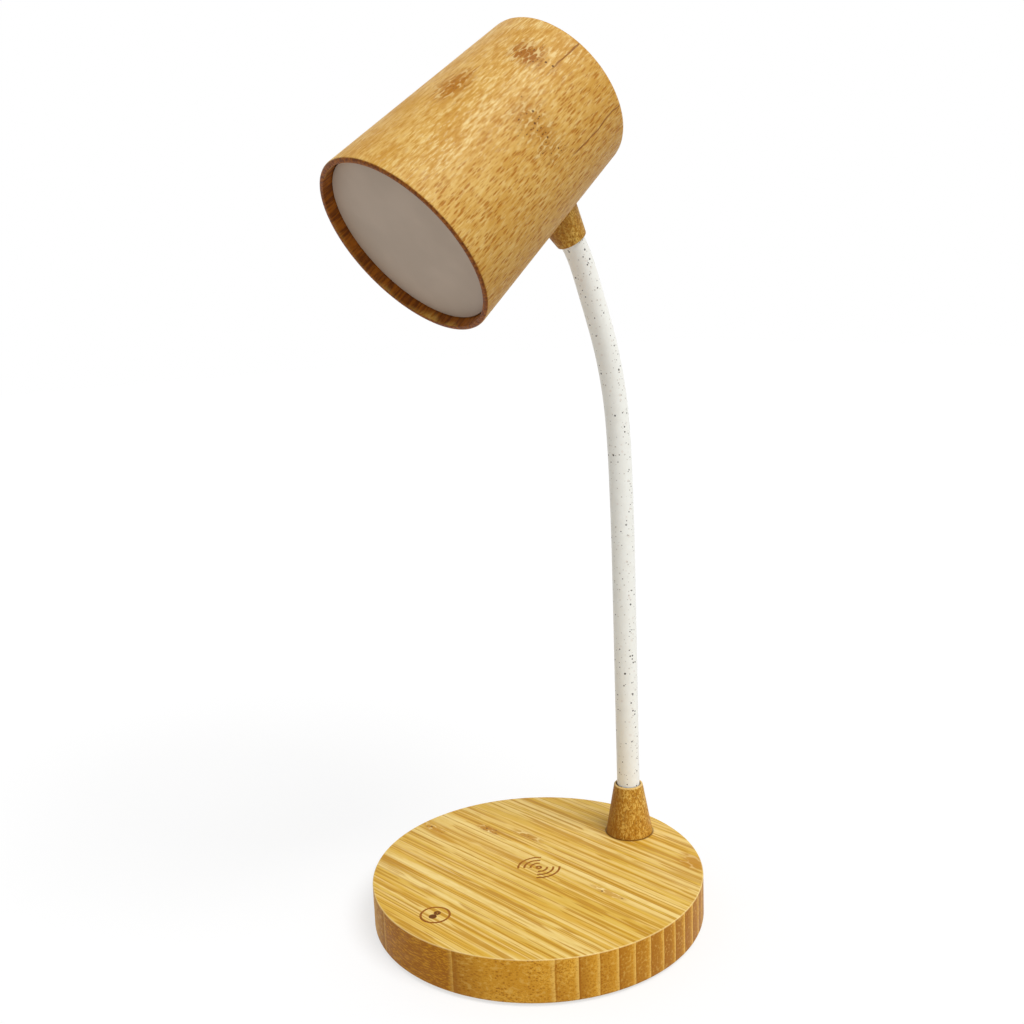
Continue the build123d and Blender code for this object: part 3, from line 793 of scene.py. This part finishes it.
collarWood = {
    "deep": tuple(sideways), "wander": 0.4, "light": (0.76, 0.47, 0.095),
    # pale colours the painted highlight on the mouth's edge; inside colours the painted shade in the mouth
    # and at the foot
    "middle": (0.46, 0.205, 0.014), "dark": (0.25, 0.085, 0.003), "pale": (0.90, 0.68, 0.28),
    "inside": (0.14, 0.045, 0.004),
    "dash": {"length": 1.8, "perMm": 1.25, "width": 0.55, "core": 0.3, "sunk": 1.0},
    # painted shade on the side away from the key light: its direction, where it starts and ends in mm, and
    # its raggedness in mm
    "darkSide": (-0.59, -0.807, 0.0), "shadedSideFrom": (-1.0, 8.0), "shadedSideRagged": 4.0,
    "fields": {"grain": ((0.55, 1.0, 1.0), 1.25, 2.0, 0.65, 0.8), "patch": ((0.3, 1.0, 1.0), 0.4)},
    "layers": {
        "side": [
            ("middle", 1.0, ("grain", 0.40, 0.54)),
            ("middle", 0.40, ("patch", 0.42, 0.60)),
            ("dark", 0.70, ("dash",)),
            ("dark", 0.60, ("darkSide",)),
        ],
        # painted highlight and painted shade at the collar's ends
        "ends": [
            ("pale", 0.50, ("mouthHighlight",)),
            ("inside", 0.80, ("mouthWallShade",)),
            ("inside", 0.80, ("footContactShadow",)),
        ],
    },
    # where the painted highlight on the mouth's edge, the painted shade on the mouth's inner wall and the
    # painted contact shadow at the foot fall, in mm
    "mouthHighlight": (-0.55, -0.25), "mouthWallShade": (0.3, 0.05), "footContactShadow": (0.6, 0.15),
    "relief": {"grain": 0.5, "dash": 0.7},
    "rough": (0.5, 0.3), "bump": (0.6, 0.14), "gloss": 0.2,
}


def bambooCollar(name, up, foot, middle, seed):
    look = dict(collarWood, along=tuple(up), across=tuple(up.cross(sideways)))
    wood = Bamboo(name, look)
    known = wood.known
    for field in look["fields"]:
        wood.field(field, (seed, 0.0, 0.0))
    grain, dash = known["grain"], wood.dashes("dash", seed)

    # painted shade: the side turned away from the key light is darker
    fromMiddle = wood.vector("SUBTRACT", wood.spot, middle)
    beside = wood.dot(fromMiddle, look["darkSide"]) / mm + (known["patch"] - 0.5) * look["shadedSideRagged"]
    known.update(dash=dash, darkSide=wood.smooth(beside, *look["shadedSideFrom"]))
    colour = wood.layered(look["light"], "side")
    if foot is not None:
        # a painted highlight on the turned edge at the mouth, painted shade on the wall inside the mouth, and
        # a painted contact shadow where it stands
        top = foot + collar["height"]
        known["mouthHighlight"] = wood.near(known["along"], top, *look["mouthHighlight"])
        known["mouthWallShade"] = wood.near(wood.fromAxis(fromMiddle), collar["mouth"], *look["mouthWallShade"])
        known["footContactShadow"] = wood.near(known["along"], foot, *look["footContactShadow"])
        colour = wood.layered(colour, "ends")
    return wood.done(colour, grain, grain * look["relief"]["grain"] - dash * look["relief"]["dash"], look)


def makeCollars():
    low = base["top"] + collar["height"] - collar["depth"]
    foot = Vector((0.0, base["neck"], 0.0)) * mm
    lowerPlace = standing(Vector((0.0, base["neck"], low)) * mm, upright)
    outline = collarOutline(collar["height"], collar["lowerRim"])
    lower = turned("lowerCollar", outline, collar["sides"], lowerPlace)
    wood = bambooCollar("bambooLowerCollar", upright, base["top"], foot, 5.0)
    dress(lower, wood, "bamboo_collar", "base", "lower_collar")

    upperPlace = standing(mouth + rise * collar["depth"] * mm, -rise)
    outline = collarOutline(neck["shown"] + collar["cope"], collar["upperRim"])
    upper = turned("upperCollar", outline, collar["sides"], upperPlace)
    cut(upper, [turned("headOutside", [
        (0.0, 0.0),
        (head["front"], 0.0),
        (head["back"], -head["length"]),
        (0.0, -head["length"]),
    ], collar["copeSides"], headPlace)])
    wood = bambooCollar("bambooUpperCollar", rise, None, mouth, 9.0)
    dress(upper, wood, "bamboo_collar", "head", "upper_collar")


makeBase()
makeHead()
makeDiffuser()
makeCollars()
print("bamboo pieces and diffuser made")


# Geometry node trees: named inputs, one evaluated mesh for each piece

class Shape(Tree):
    def __init__(self, name, inputs):
        self.group = bpy.data.node_groups.new(name, "GeometryNodeTree")
        self.known = {}
        sockets = self.group.interface
        for label, kind in inputs.items():
            made = sockets.new_socket(name=label, in_out="INPUT", socket_type="NodeSocket" + kind)
            self.known[label] = made.identifier
        sockets.new_socket(name="Geometry", in_out="OUTPUT", socket_type="NodeSocketGeometry")
        super().__init__(self.group)

    def given(self, label):
        return self.node("NodeGroupInput", output=label)

    def closing(self, geometry):
        real = self.node("GeometryNodeRealizeInstances", {"Geometry": geometry})
        values = {"Geometry": real, "Material": self.given("Material")}
        self.node("NodeGroupOutput", {"Geometry": self.node("GeometryNodeSetMaterial", values)})

    def make(self, name, values):
        piece = linked(name, bpy.data.meshes.new(name))
        modifier = piece.modifiers.new("shape", "NODES")
        modifier.node_group = self.group
        for label, value in values.items():
            modifier[self.known[label]] = value
        return plainMesh(piece)


tubeInputs = {
    "Start": "Vector", "Start Handle": "Vector", "End Handle": "Vector", "End": "Vector",
    "Radius": "Float", "Sides": "Int", "Steps": "Int", "Capped": "Bool", "Material": "Material",
}


def tubeShape():
    shape = Shape("tubeBetweenPivots", tubeInputs)
    corners = {label: shape.given(label) for label in ("Start", "Start Handle", "End Handle", "End")}
    values = {"Resolution": shape.given("Steps"), **corners}
    route = shape.node("GeometryNodeCurvePrimitiveBezierSegment", values, mode="POSITION")
    values = {"Resolution": shape.given("Sides"), "Radius": shape.given("Radius")}
    section = shape.node("GeometryNodeCurvePrimitiveCircle", values, mode="RADIUS")
    tube = shape.node("GeometryNodeCurveToMesh", {
        "Curve": route, "Profile Curve": section, "Fill Caps": shape.given("Capped"),
    })
    values = {"Geometry": tube, "Name": "restPlace", "Value": shape.node("GeometryNodeInputPosition")}
    kept = shape.node("GeometryNodeStoreNamedAttribute", values, data_type="FLOAT_VECTOR", domain="POINT")
    shape.closing(kept)
    return shape


# Sleeve and lead: one length for each joint, from the middle of a link to the middle of the next

sleeve = {
    "light": (0.94, 0.94, 0.88), "dark": (0.91, 0.905, 0.84), "grey": (0.70, 0.62, 0.50),
    "greyed": (0.55, 0.75), "greyShare": 0.15, "cloud": 350.0, "grain": 2500.0,
    # shift of the pattern, cells to a metre, size in its cell, share of empty cells, strength, colour
    "specks": [
        ((0.0, 0.0, 0.0), 620.0, 0.30, 0.70, 0.92, (0.05, 0.04, 0.035)),
        ((0.3, 0.1, 0.2), 850.0, 0.34, 0.66, 0.45, (0.26, 0.21, 0.15)),
        ((0.7, 0.4, 0.6), 420.0, 0.30, 0.70, 0.20, (0.55, 0.36, 0.27)),
    ],
    "speckSizes": (0.4, 0.6), "reshuffle": 7.0, "speckCore": 0.75, "speckRagged": 0.1, "speckFade": 0.02,
    "grainHeight": 0.4, "rough": (0.46, 0.16), "bump": (0.25, 0.1), "gloss": 0.45,
}
lead = {
    "radius": 1.0, "sides": 12, "steps": 12, "start": 9.2, "turn": 8.0, "belowAxis": 14.0,
    "sinkDepth": 26.6, "handles": (0.33, 0.67), "dark": (0.03, 0.03, 0.032),
    "light": (0.05, 0.05, 0.052), "grain": 1500.0, "rough": (0.42, 0.2), "bump": (0.2, 0.05),
}


def speckledSleeve():
    cream = Finish("speckledSleeve")
    place = cream.restPlace()
    cloud = cream.noise(place, sleeve["cloud"])
    grain = cream.noise(place, sleeve["grain"])
    greyed = cream.smooth(grain, *sleeve["greyed"]) * sleeve["greyShare"]
    colour = cream.mix(greyed, cream.tones(cloud, sleeve), sleeve["grey"])
    least, more = sleeve["speckSizes"]
    for shift, perMetre, most, empty, strength, tint in sleeve["specks"]:
        moved = cream.vector("ADD", place, shift)
        reach = cream.cells(moved, perMetre) + (grain - 0.5) * sleeve["speckRagged"]
        luck = cream.luck(moved, perMetre)
        size = most * (least + more * cream.maths("FRACT", luck * sleeve["reshuffle"]))
        filled = cream.smooth(luck, empty, empty + sleeve["speckFade"])
        spot = cream.smooth(reach, size, size * sleeve["speckCore"]) * filled
        colour = cream.mix(spot * strength, colour, tint)
    return cream.done(colour, cloud, cloud + grain * sleeve["grainHeight"], sleeve)


def leadJacket():
    jacket = Finish("leadJacket")
    grain = jacket.noise(jacket.restPlace(), lead["grain"])
    return jacket.done(jacket.mix(grain, lead["dark"], lead["light"]), grain, grain, lead)


def makeTube(shape, name, points, tube, capped, material):
    radius, sides, steps = tube
    values = (*points, radius * mm, sides, steps, capped, material)
    return shape.make(name, dict(zip(tubeInputs, values)))


def makeNeck():
    shape = tubeShape()
    jacket = leadJacket()
    middles = [(a + b) / 2 for a, b in zip(pivots, pivots[1:])]
    foot = Vector((0.0, base["neck"], 0.0)) * mm
    top = mouth + rise * neck["socket"] * mm
    sleeveTube = (neck["outside"], neck["sides"], neck["steps"])
    leadTube = (lead["radius"], lead["sides"], lead["steps"])
    routes = {
        "neckSleeve": (neck["bottom"], sleeveTube, False, speckledSleeve()),
        "neckLead": (lead["start"], leadTube, True, jacket),
    }
    for name, (start, tube, capped, material) in routes.items():
        points = [foot + upright * start * mm] + middles + [top]
        pieces = []
        for number, pivot in enumerate(pivots):
            low, high = points[number], points[number + 1]
            last = number == len(pivots) - 1
            bow = neck["lastBow"] if last else neck["bow"]
            reach = neck["headBlend"] if last else neck["blend"]
            corners = (low, low.lerp(pivot, bow), high.lerp(pivot, bow), high)
            piece = makeTube(shape, f"{name}{number + 1:02d}", corners, tube, capped, material)
            if not capped:
                wall = piece.modifiers.new("wall", "SOLIDIFY")
                wall.thickness = neck["wall"] * mm
                wall.offset = -1.0
                plainMesh(piece)
            before = pivot + (low - pivot).normalized() * min(reach, (low - pivot).length / mm) * mm
            after = pivot + (high - pivot).normalized() * min(reach, (high - pivot).length / mm) * mm
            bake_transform(piece)
            pieces.append(piece)
        for piece in pieces:
            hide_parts("led_lead" if capped else "neck_sleeve")
    makeLeadEnd(shape, leadTube, jacket, top)


def makeLeadEnd(shape, tube, jacket, start):
    # inside the head: up from the collar, round one bend and forward to the heat sink
    corner = headMiddle - rise * lead["belowAxis"] * mm
    shift = lead["belowAxis"] * math.sin(pitch - lean)
    end = corner + shine * (neck["behindRim"] - lead["sinkDepth"] - shift) * mm
    turn = rise.angle(shine)
    back = lead["turn"] * math.tan(turn / 2) * mm
    hook = 4 / 3 * math.tan(turn / 4) * lead["turn"] * mm
    bendStart, bendEnd = corner - rise * back, corner + shine * back
    first, second = lead["handles"]
    runs = [
        (start, start.lerp(bendStart, first), start.lerp(bendStart, second), bendStart),
        (bendStart, bendStart + rise * hook, bendEnd - shine * hook, bendEnd),
        (bendEnd, bendEnd.lerp(end, first), bendEnd.lerp(end, second), end),
    ]
    for number, points in enumerate(runs):
        piece = makeTube(shape, f"headLead{number + 1:02d}", points, tube, True, jacket)
        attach(piece, "head")
        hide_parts("led_lead")


makeNeck()
print("neck made")


# Marks burnt into the top: the charging sign and the touch sign

marks = {
    "stroke": 0.85, "proud": 0.03, "sunk": 0.05, "sides": 64, "steps": 32,
    "charge": {
        "at": (0.3, 0.5), "turn": 5.5, "first": 3.3, "step": 2.45, "count": 3, "sweep": 100.0, "ring": 0.9,
    },
    "touch": {"at": (3.6, -50.6), "ring": 5.4, "big": (0.4, -1.3, 1.5), "small": (-0.6, 1.35, 1.35, 0.3)},
    "lines": {"dark": (0.25, 0.075, 0.006), "light": (0.38, 0.145, 0.014)},
    "dots": {"dark": (0.12, 0.035, 0.003), "light": (0.21, 0.070, 0.006)},
    "burnt": {
        "streak": (60.0, 900.0, 900.0), "grain": 2500.0,
        "rough": (0.62, 0.2), "bump": (0.3, 0.05), "gloss": 0.12,
    },
}


def arcShape():
    shape = Shape("burntArcs", {
        "Centre": "Vector", "Turn": "Float", "First Radius": "Float", "Radius Step": "Float", "Count": "Int",
        "Sweep": "Float", "Stroke": "Float", "Depth": "Float", "Material": "Material",
    })
    sweep = shape.given("Sweep")
    values = {"Resolution": marks["steps"], "Radius": 1.0, "Start Angle": sweep * -0.5, "Sweep Angle": sweep}
    arc = shape.node("GeometryNodeCurveArc", values, mode="RADIUS")
    number = shape.node("GeometryNodeInputIndex")
    count = shape.given("Count") * 2.0
    points = shape.node("GeometryNodeMeshLine", {"Count": count, "Offset": (0.0, 0.0, 0.0)})
    size = shape.given("First Radius") + shape.maths("FLOOR", number / 2.0) * shape.given("Radius Step")
    angle = shape.maths("MODULO", number, 2.0) * math.pi + shape.given("Turn")
    placed = shape.node("GeometryNodeInstanceOnPoints", {
        "Points": points, "Instance": arc,
        "Rotation": shape.combine(0.0, 0.0, angle), "Scale": shape.combine(size, size, 1.0),
    })
    real = shape.node("GeometryNodeRealizeInstances", {"Geometry": placed})
    moved = shape.node("GeometryNodeTransform", {"Geometry": real, "Translation": shape.given("Centre")})
    values = {"Width": shape.given("Stroke"), "Height": shape.given("Depth")}
    section = shape.node("GeometryNodeCurvePrimitiveQuadrilateral", values)
    values = {"Curve": moved, "Profile Curve": section, "Fill Caps": True}
    shape.closing(shape.node("GeometryNodeCurveToMesh", values))
    return shape


def burntWood(name, tones):
    look = dict(marks["burnt"], **tones)
    burnt = Finish(name)
    place = burnt.place()
    streak = burnt.noise(burnt.vector("MULTIPLY", place, look["streak"]), 1.0)
    grain = burnt.noise(place, look["grain"])
    return burnt.done(burnt.tones(streak, look, 0.7, 0.3), grain, grain, look)


def ringMark(name, x, y, outer, inner, material):
    low, high = -marks["sunk"], marks["proud"]
    place = Matrix.Translation(Vector((x, y, base["top"])) * mm)
    outline = [(inner, low), (outer, low), (outer, high), (inner, high)]
    piece = turned(name, outline, marks["sides"], place)
    piece.data.materials.append(material)
    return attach(piece, "base")


def makeMarks():
    burnt, deeper = burntWood("burntLine", marks["lines"]), burntWood("burntDot", marks["dots"])
    charge, touch = marks["charge"], marks["touch"]
    middle = base["top"] + (marks["proud"] - marks["sunk"]) / 2
    arcs = arcShape().make("chargeArcs", {
        "Centre": Vector((*charge["at"], middle)) * mm, "Turn": math.radians(charge["turn"]),
        "First Radius": charge["first"] * mm, "Radius Step": charge["step"] * mm, "Count": charge["count"],
        "Sweep": math.radians(charge["sweep"]), "Stroke": marks["stroke"] * mm,
        "Depth": (marks["proud"] + marks["sunk"]) * mm, "Material": burnt,
    })
    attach(arcs, "base")
    half = marks["stroke"] / 2
    ringMark("chargeRing", *charge["at"], charge["ring"] + half, charge["ring"] - half, burnt)
    x, y = touch["at"]
    ringMark("touchRing", x, y, touch["ring"] + half, touch["ring"] - half, burnt)
    ringMark("touchDot", x + touch["big"][0], y + touch["big"][1], touch["big"][2], 0.0, deeper)
    ringMark("touchEye", x + touch["small"][0], y + touch["small"][1], *touch["small"][2:], deeper)


makeMarks()
print("marks made")


# Finishes for the pieces that stay as they are in the frame

wear = {"tones": (0.35, 0.65), "rubbed": (0.6, 0.8), "rubbedShare": 0.2, "dull": (0.5, 0.8), "dullShare": 0.3}


def moulded(name, look):
    # plastic, rubber, enamel and cast metal: two close tones, a grain and a little wear
    made = Finish(name)
    place = made.place()
    grain = made.noise(place, look["grain"])
    colour = made.tones(made.noise(place, look["cloud"]), look, *wear["tones"])
    rubbed = made.smooth(grain, *wear["rubbed"]) * wear["rubbedShare"]
    return made.done(made.mix(rubbed, colour, look["light"]), grain, grain, look)


def brushed(name, look):
    # rolled or drawn metal: fine lines along one direction
    made = Finish(name)
    place = made.place()
    lines = made.noise(made.vector("MULTIPLY", place, look["draw"]), 1.0, 3.0, 0.7)
    dull = made.smooth(made.noise(place, look["cloud"]), *wear["dull"]) * wear["dullShare"]
    return made.done(made.mix(dull, made.tones(lines, look), look["dark"]), lines, lines, look)


def woundCoil(name, look):
    # enamelled wire: fine strands round the coil's middle
    made = Finish(name)
    place = made.vector("SUBTRACT", made.place(), Vector(look["middle"]) * mm)
    wave = made.wave(made.fromAxis(place), look["strand"])
    grain = made.noise(place, look["grain"])
    return made.done(made.mix(wave, look["dark"], look["light"]), grain, wave, look)


def woundCore(name, look):
    # a spring wound close: turns follow one another up the neck
    made = Finish(name)
    place = made.place()
    wave = made.wave(made.dot(place, (0.0, -look["slant"] / mm, 1.0 / mm)), look["pitch"])
    return made.done(made.tones(wave, look, 0.5, 0.0), made.noise(place, look["grain"]), wave, look)


def boardLaminate(name, look):
    # lacquered laminate with faint tracks under the lacquer
    made = Finish(name)
    place = made.place()
    field = made.noise(made.vector("SNAP", place, (look["raster"] * mm,) * 3), look["tracks"], 1.0)
    track = made.smooth(abs(field - 0.5), *look["trackWidth"])
    weave = made.noise(place, look["weave"], 1.0)
    colour = made.mix(track * look["trackShare"], made.mix(weave, look["light"], look["dark"]), look["track"])
    return made.done(colour, weave, track + weave * look["weaveHeight"], look)


steel = {
    "light": (0.60, 0.60, 0.59), "dark": (0.46, 0.46, 0.45), "draw": (3000.0, 200.0, 3000.0), "cloud": 90.0,
    "metal": 1.0, "rough": (0.36, 0.25), "bump": (0.2, 0.03),
}
zinc = {
    "light": (0.70, 0.71, 0.72), "dark": (0.50, 0.51, 0.53), "cloud": 500.0, "grain": 3000.0,
    "metal": 1.0, "rough": (0.34, 0.2), "bump": (0.15, 0.05),
}
board = {
    "tracks": 160.0, "trackWidth": (0.03, 0.012), "trackShare": 0.6, "weave": 3000.0, "weaveHeight": 0.2,
    "rough": (0.36, 0.15), "bump": (0.2, 0.04),
}
finishes = {
    "coverPlastic": (moulded, {
        "light": (0.030, 0.030, 0.031), "dark": (0.022, 0.022, 0.023), "cloud": 60.0, "grain": 2600.0,
        "rough": (0.52, 0.2), "bump": (0.35, 0.05),
    }, ["bottom_cover"]),
    "footRubber": (moulded, {
        "light": (0.020, 0.020, 0.020), "dark": (0.013, 0.013, 0.013), "cloud": 150.0, "grain": 1800.0,
        "rough": (0.78, 0.2), "bump": (0.6, 0.05),
    }, ["foot_pad"]),
    "weightSteel": (brushed, steel, ["weight_plate"]),
    "screwZinc": (moulded, zinc, [
        "cover_screws", "board_screws", "board_standoffs", "led_screws", "sink_screws",
    ]),
    "studSteel": (moulded, dict(zinc, light=(0.62, 0.62, 0.61), dark=(0.42, 0.42, 0.41)), [
        "lower_stud", "lower_washer", "lower_nut", "upper_stud", "upper_washer", "upper_nut",
    ]),
    "socketSteel": (brushed, dict(
        steel, draw=(400.0, 4000.0, 4000.0), light=(0.68, 0.68, 0.67), rough=(0.28, 0.25),
    ), ["usb_socket"]),
    "contactBrass": (moulded, dict(zinc, light=(0.80, 0.62, 0.30), dark=(0.66, 0.48, 0.20)), [
        "touch_pad", "touch_contact",
    ]),
    "coilCopper": (woundCoil, {
        "light": (0.80, 0.36, 0.16), "dark": (0.50, 0.18, 0.07), "strand": 0.4, "middle": (0.0, 0.5, 0.0),
        "grain": 900.0, "metal": 1.0, "rough": (0.32, 0.2), "bump": (0.4, 0.05),
    }, ["charging_coil"]),
    "ferriteGrey": (moulded, {
        "light": (0.075, 0.073, 0.072), "dark": (0.050, 0.049, 0.048), "cloud": 300.0, "grain": 2400.0,
        "rough": (0.6, 0.2), "bump": (0.4, 0.05),
    }, ["ferrite_sheet"]),
    "boardGreen": (boardLaminate, dict(
        board, light=(0.012, 0.10, 0.035), dark=(0.008, 0.075, 0.025), track=(0.03, 0.20, 0.07), raster=0.8,
    ), ["charger_board"]),
    "componentBlack": (moulded, {
        "light": (0.028, 0.028, 0.030), "dark": (0.018, 0.018, 0.020), "cloud": 400.0, "grain": 3200.0,
        "rough": (0.45, 0.15), "bump": (0.3, 0.05),
    }, ["board_parts", "usb_tongue"]),
    "coreSteel": (woundCore, {
        "light": (0.62, 0.62, 0.61), "dark": (0.20, 0.20, 0.20), "pitch": 1.1, "slant": 0.35,
        "grain": 1200.0, "metal": 1.0, "rough": (0.34, 0.2), "bump": (0.8, 0.2),
    }, ["neck_core_base"] + [f"neck_core_{n:02d}" for n in range(1, 12)] + ["neck_core_head"]),
    "reflectorWhite": (moulded, {
        "light": (0.88, 0.88, 0.87), "dark": (0.83, 0.83, 0.82), "cloud": 120.0, "grain": 1500.0,
        "rough": (0.3, 0.1), "bump": (0.1, 0.05),
    }, ["reflector"]),
    "ledBoardWhite": (boardLaminate, dict(
        board, light=(0.82, 0.82, 0.80), dark=(0.78, 0.78, 0.76), track=(0.90, 0.90, 0.88), raster=1.0,
    ), ["led_board"]),
    "ledPhosphor": (moulded, {
        "light": (0.90, 0.72, 0.16), "dark": (0.84, 0.62, 0.10), "cloud": 900.0, "grain": 3000.0,
        "rough": (0.35, 0.1), "bump": (0.2, 0.05),
    }, ["leds"]),
    "sinkAluminium": (brushed, dict(
        steel, light=(0.80, 0.80, 0.81), dark=(0.66, 0.66, 0.67), draw=(3000.0, 300.0, 300.0),
        rough=(0.34, 0.25),
    ), ["heat_sink"]),
}


def dressNodes():
    for name, (maker, look, nodes) in finishes.items():
        material = maker(name, look)
        for node in nodes:
            for place in frame["nodes"][node].material_slots:
                place.material = material


dressNodes()
print("carried-over nodes dressed")


# Stage and light

stage = {"size": 3.0, "floor": (0.65, 0.65, 0.65), "glow": 1.34, "share": 0.5}
lamps = {"world": 0.45, "key": {"power": 2.2, "toward": (0.38, 0.38, 0.84), "soft": 32.0}}
white = (1.0, 1.0, 1.0)


def seenDirectly(tree):
    # 1 for what the camera sees straight or in a mirror or glass
    rays = "ShaderNodeLightPath"
    seen = tree.node(rays, output="Is Camera Ray")
    seen = tree.maths("MAXIMUM", seen, tree.node(rays, output="Is Glossy Ray"))
    return tree.maths("MAXIMUM", seen, tree.node(rays, output="Is Transmission Ray"))


def makeStage():
    half = stage["size"]
    corners = [(-half, -half, 0.0), (half, -half, 0.0), (half, half, 0.0), (-half, half, 0.0)]
    floor = meshObject("floor", corners, [(0, 1, 2, 3)])
    paint = Finish("floorPaint")
    matt = paint.node("ShaderNodeBsdfDiffuse", {"Color": stage["floor"]})
    glow = paint.node("ShaderNodeEmission", {"Color": white, "Strength": stage["glow"]})
    share = seenDirectly(paint) * stage["share"]
    shader = paint.node("ShaderNodeMixShader", {0: share, 1: matt, 2: glow})
    paint.node("ShaderNodeOutputMaterial", {"Surface": shader})
    floor.data.materials.append(paint.material)

    world = bpy.data.worlds.new("studio")
    bpy.context.scene.world = world
    world.use_nodes = True
    sky = Tree(world.node_tree)
    soft = sky.node("ShaderNodeBackground", {"Color": white, "Strength": lamps["world"]})
    backdrop = sky.node("ShaderNodeBackground", {"Color": white, "Strength": 1.0})
    shader = sky.node("ShaderNodeMixShader", {0: seenDirectly(sky), 1: soft, 2: backdrop})
    sky.node("ShaderNodeOutputWorld", {"Surface": shader})


def makeKey():
    # from the photographer's right, a little in front and well above
    turn = math.radians(camera["azimuth"])
    right = Vector((math.cos(turn), math.sin(turn), 0.0))
    nearer = Vector((math.sin(turn), -math.cos(turn), 0.0))
    across, front, above = lamps["key"]["toward"]
    data = bpy.data.lights.new("key", "SUN")
    data.energy = lamps["key"]["power"]
    data.angle = math.radians(lamps["key"]["soft"])
    lamp = linked("key", data)
    toward = right * across + nearer * front + upright * above
    lamp.rotation_euler = toward.to_track_quat("Z", "Y").to_euler()


makeStage()
makeKey()
bpy.context.scene.view_settings.view_transform = "Standard"
print("stage and light made")
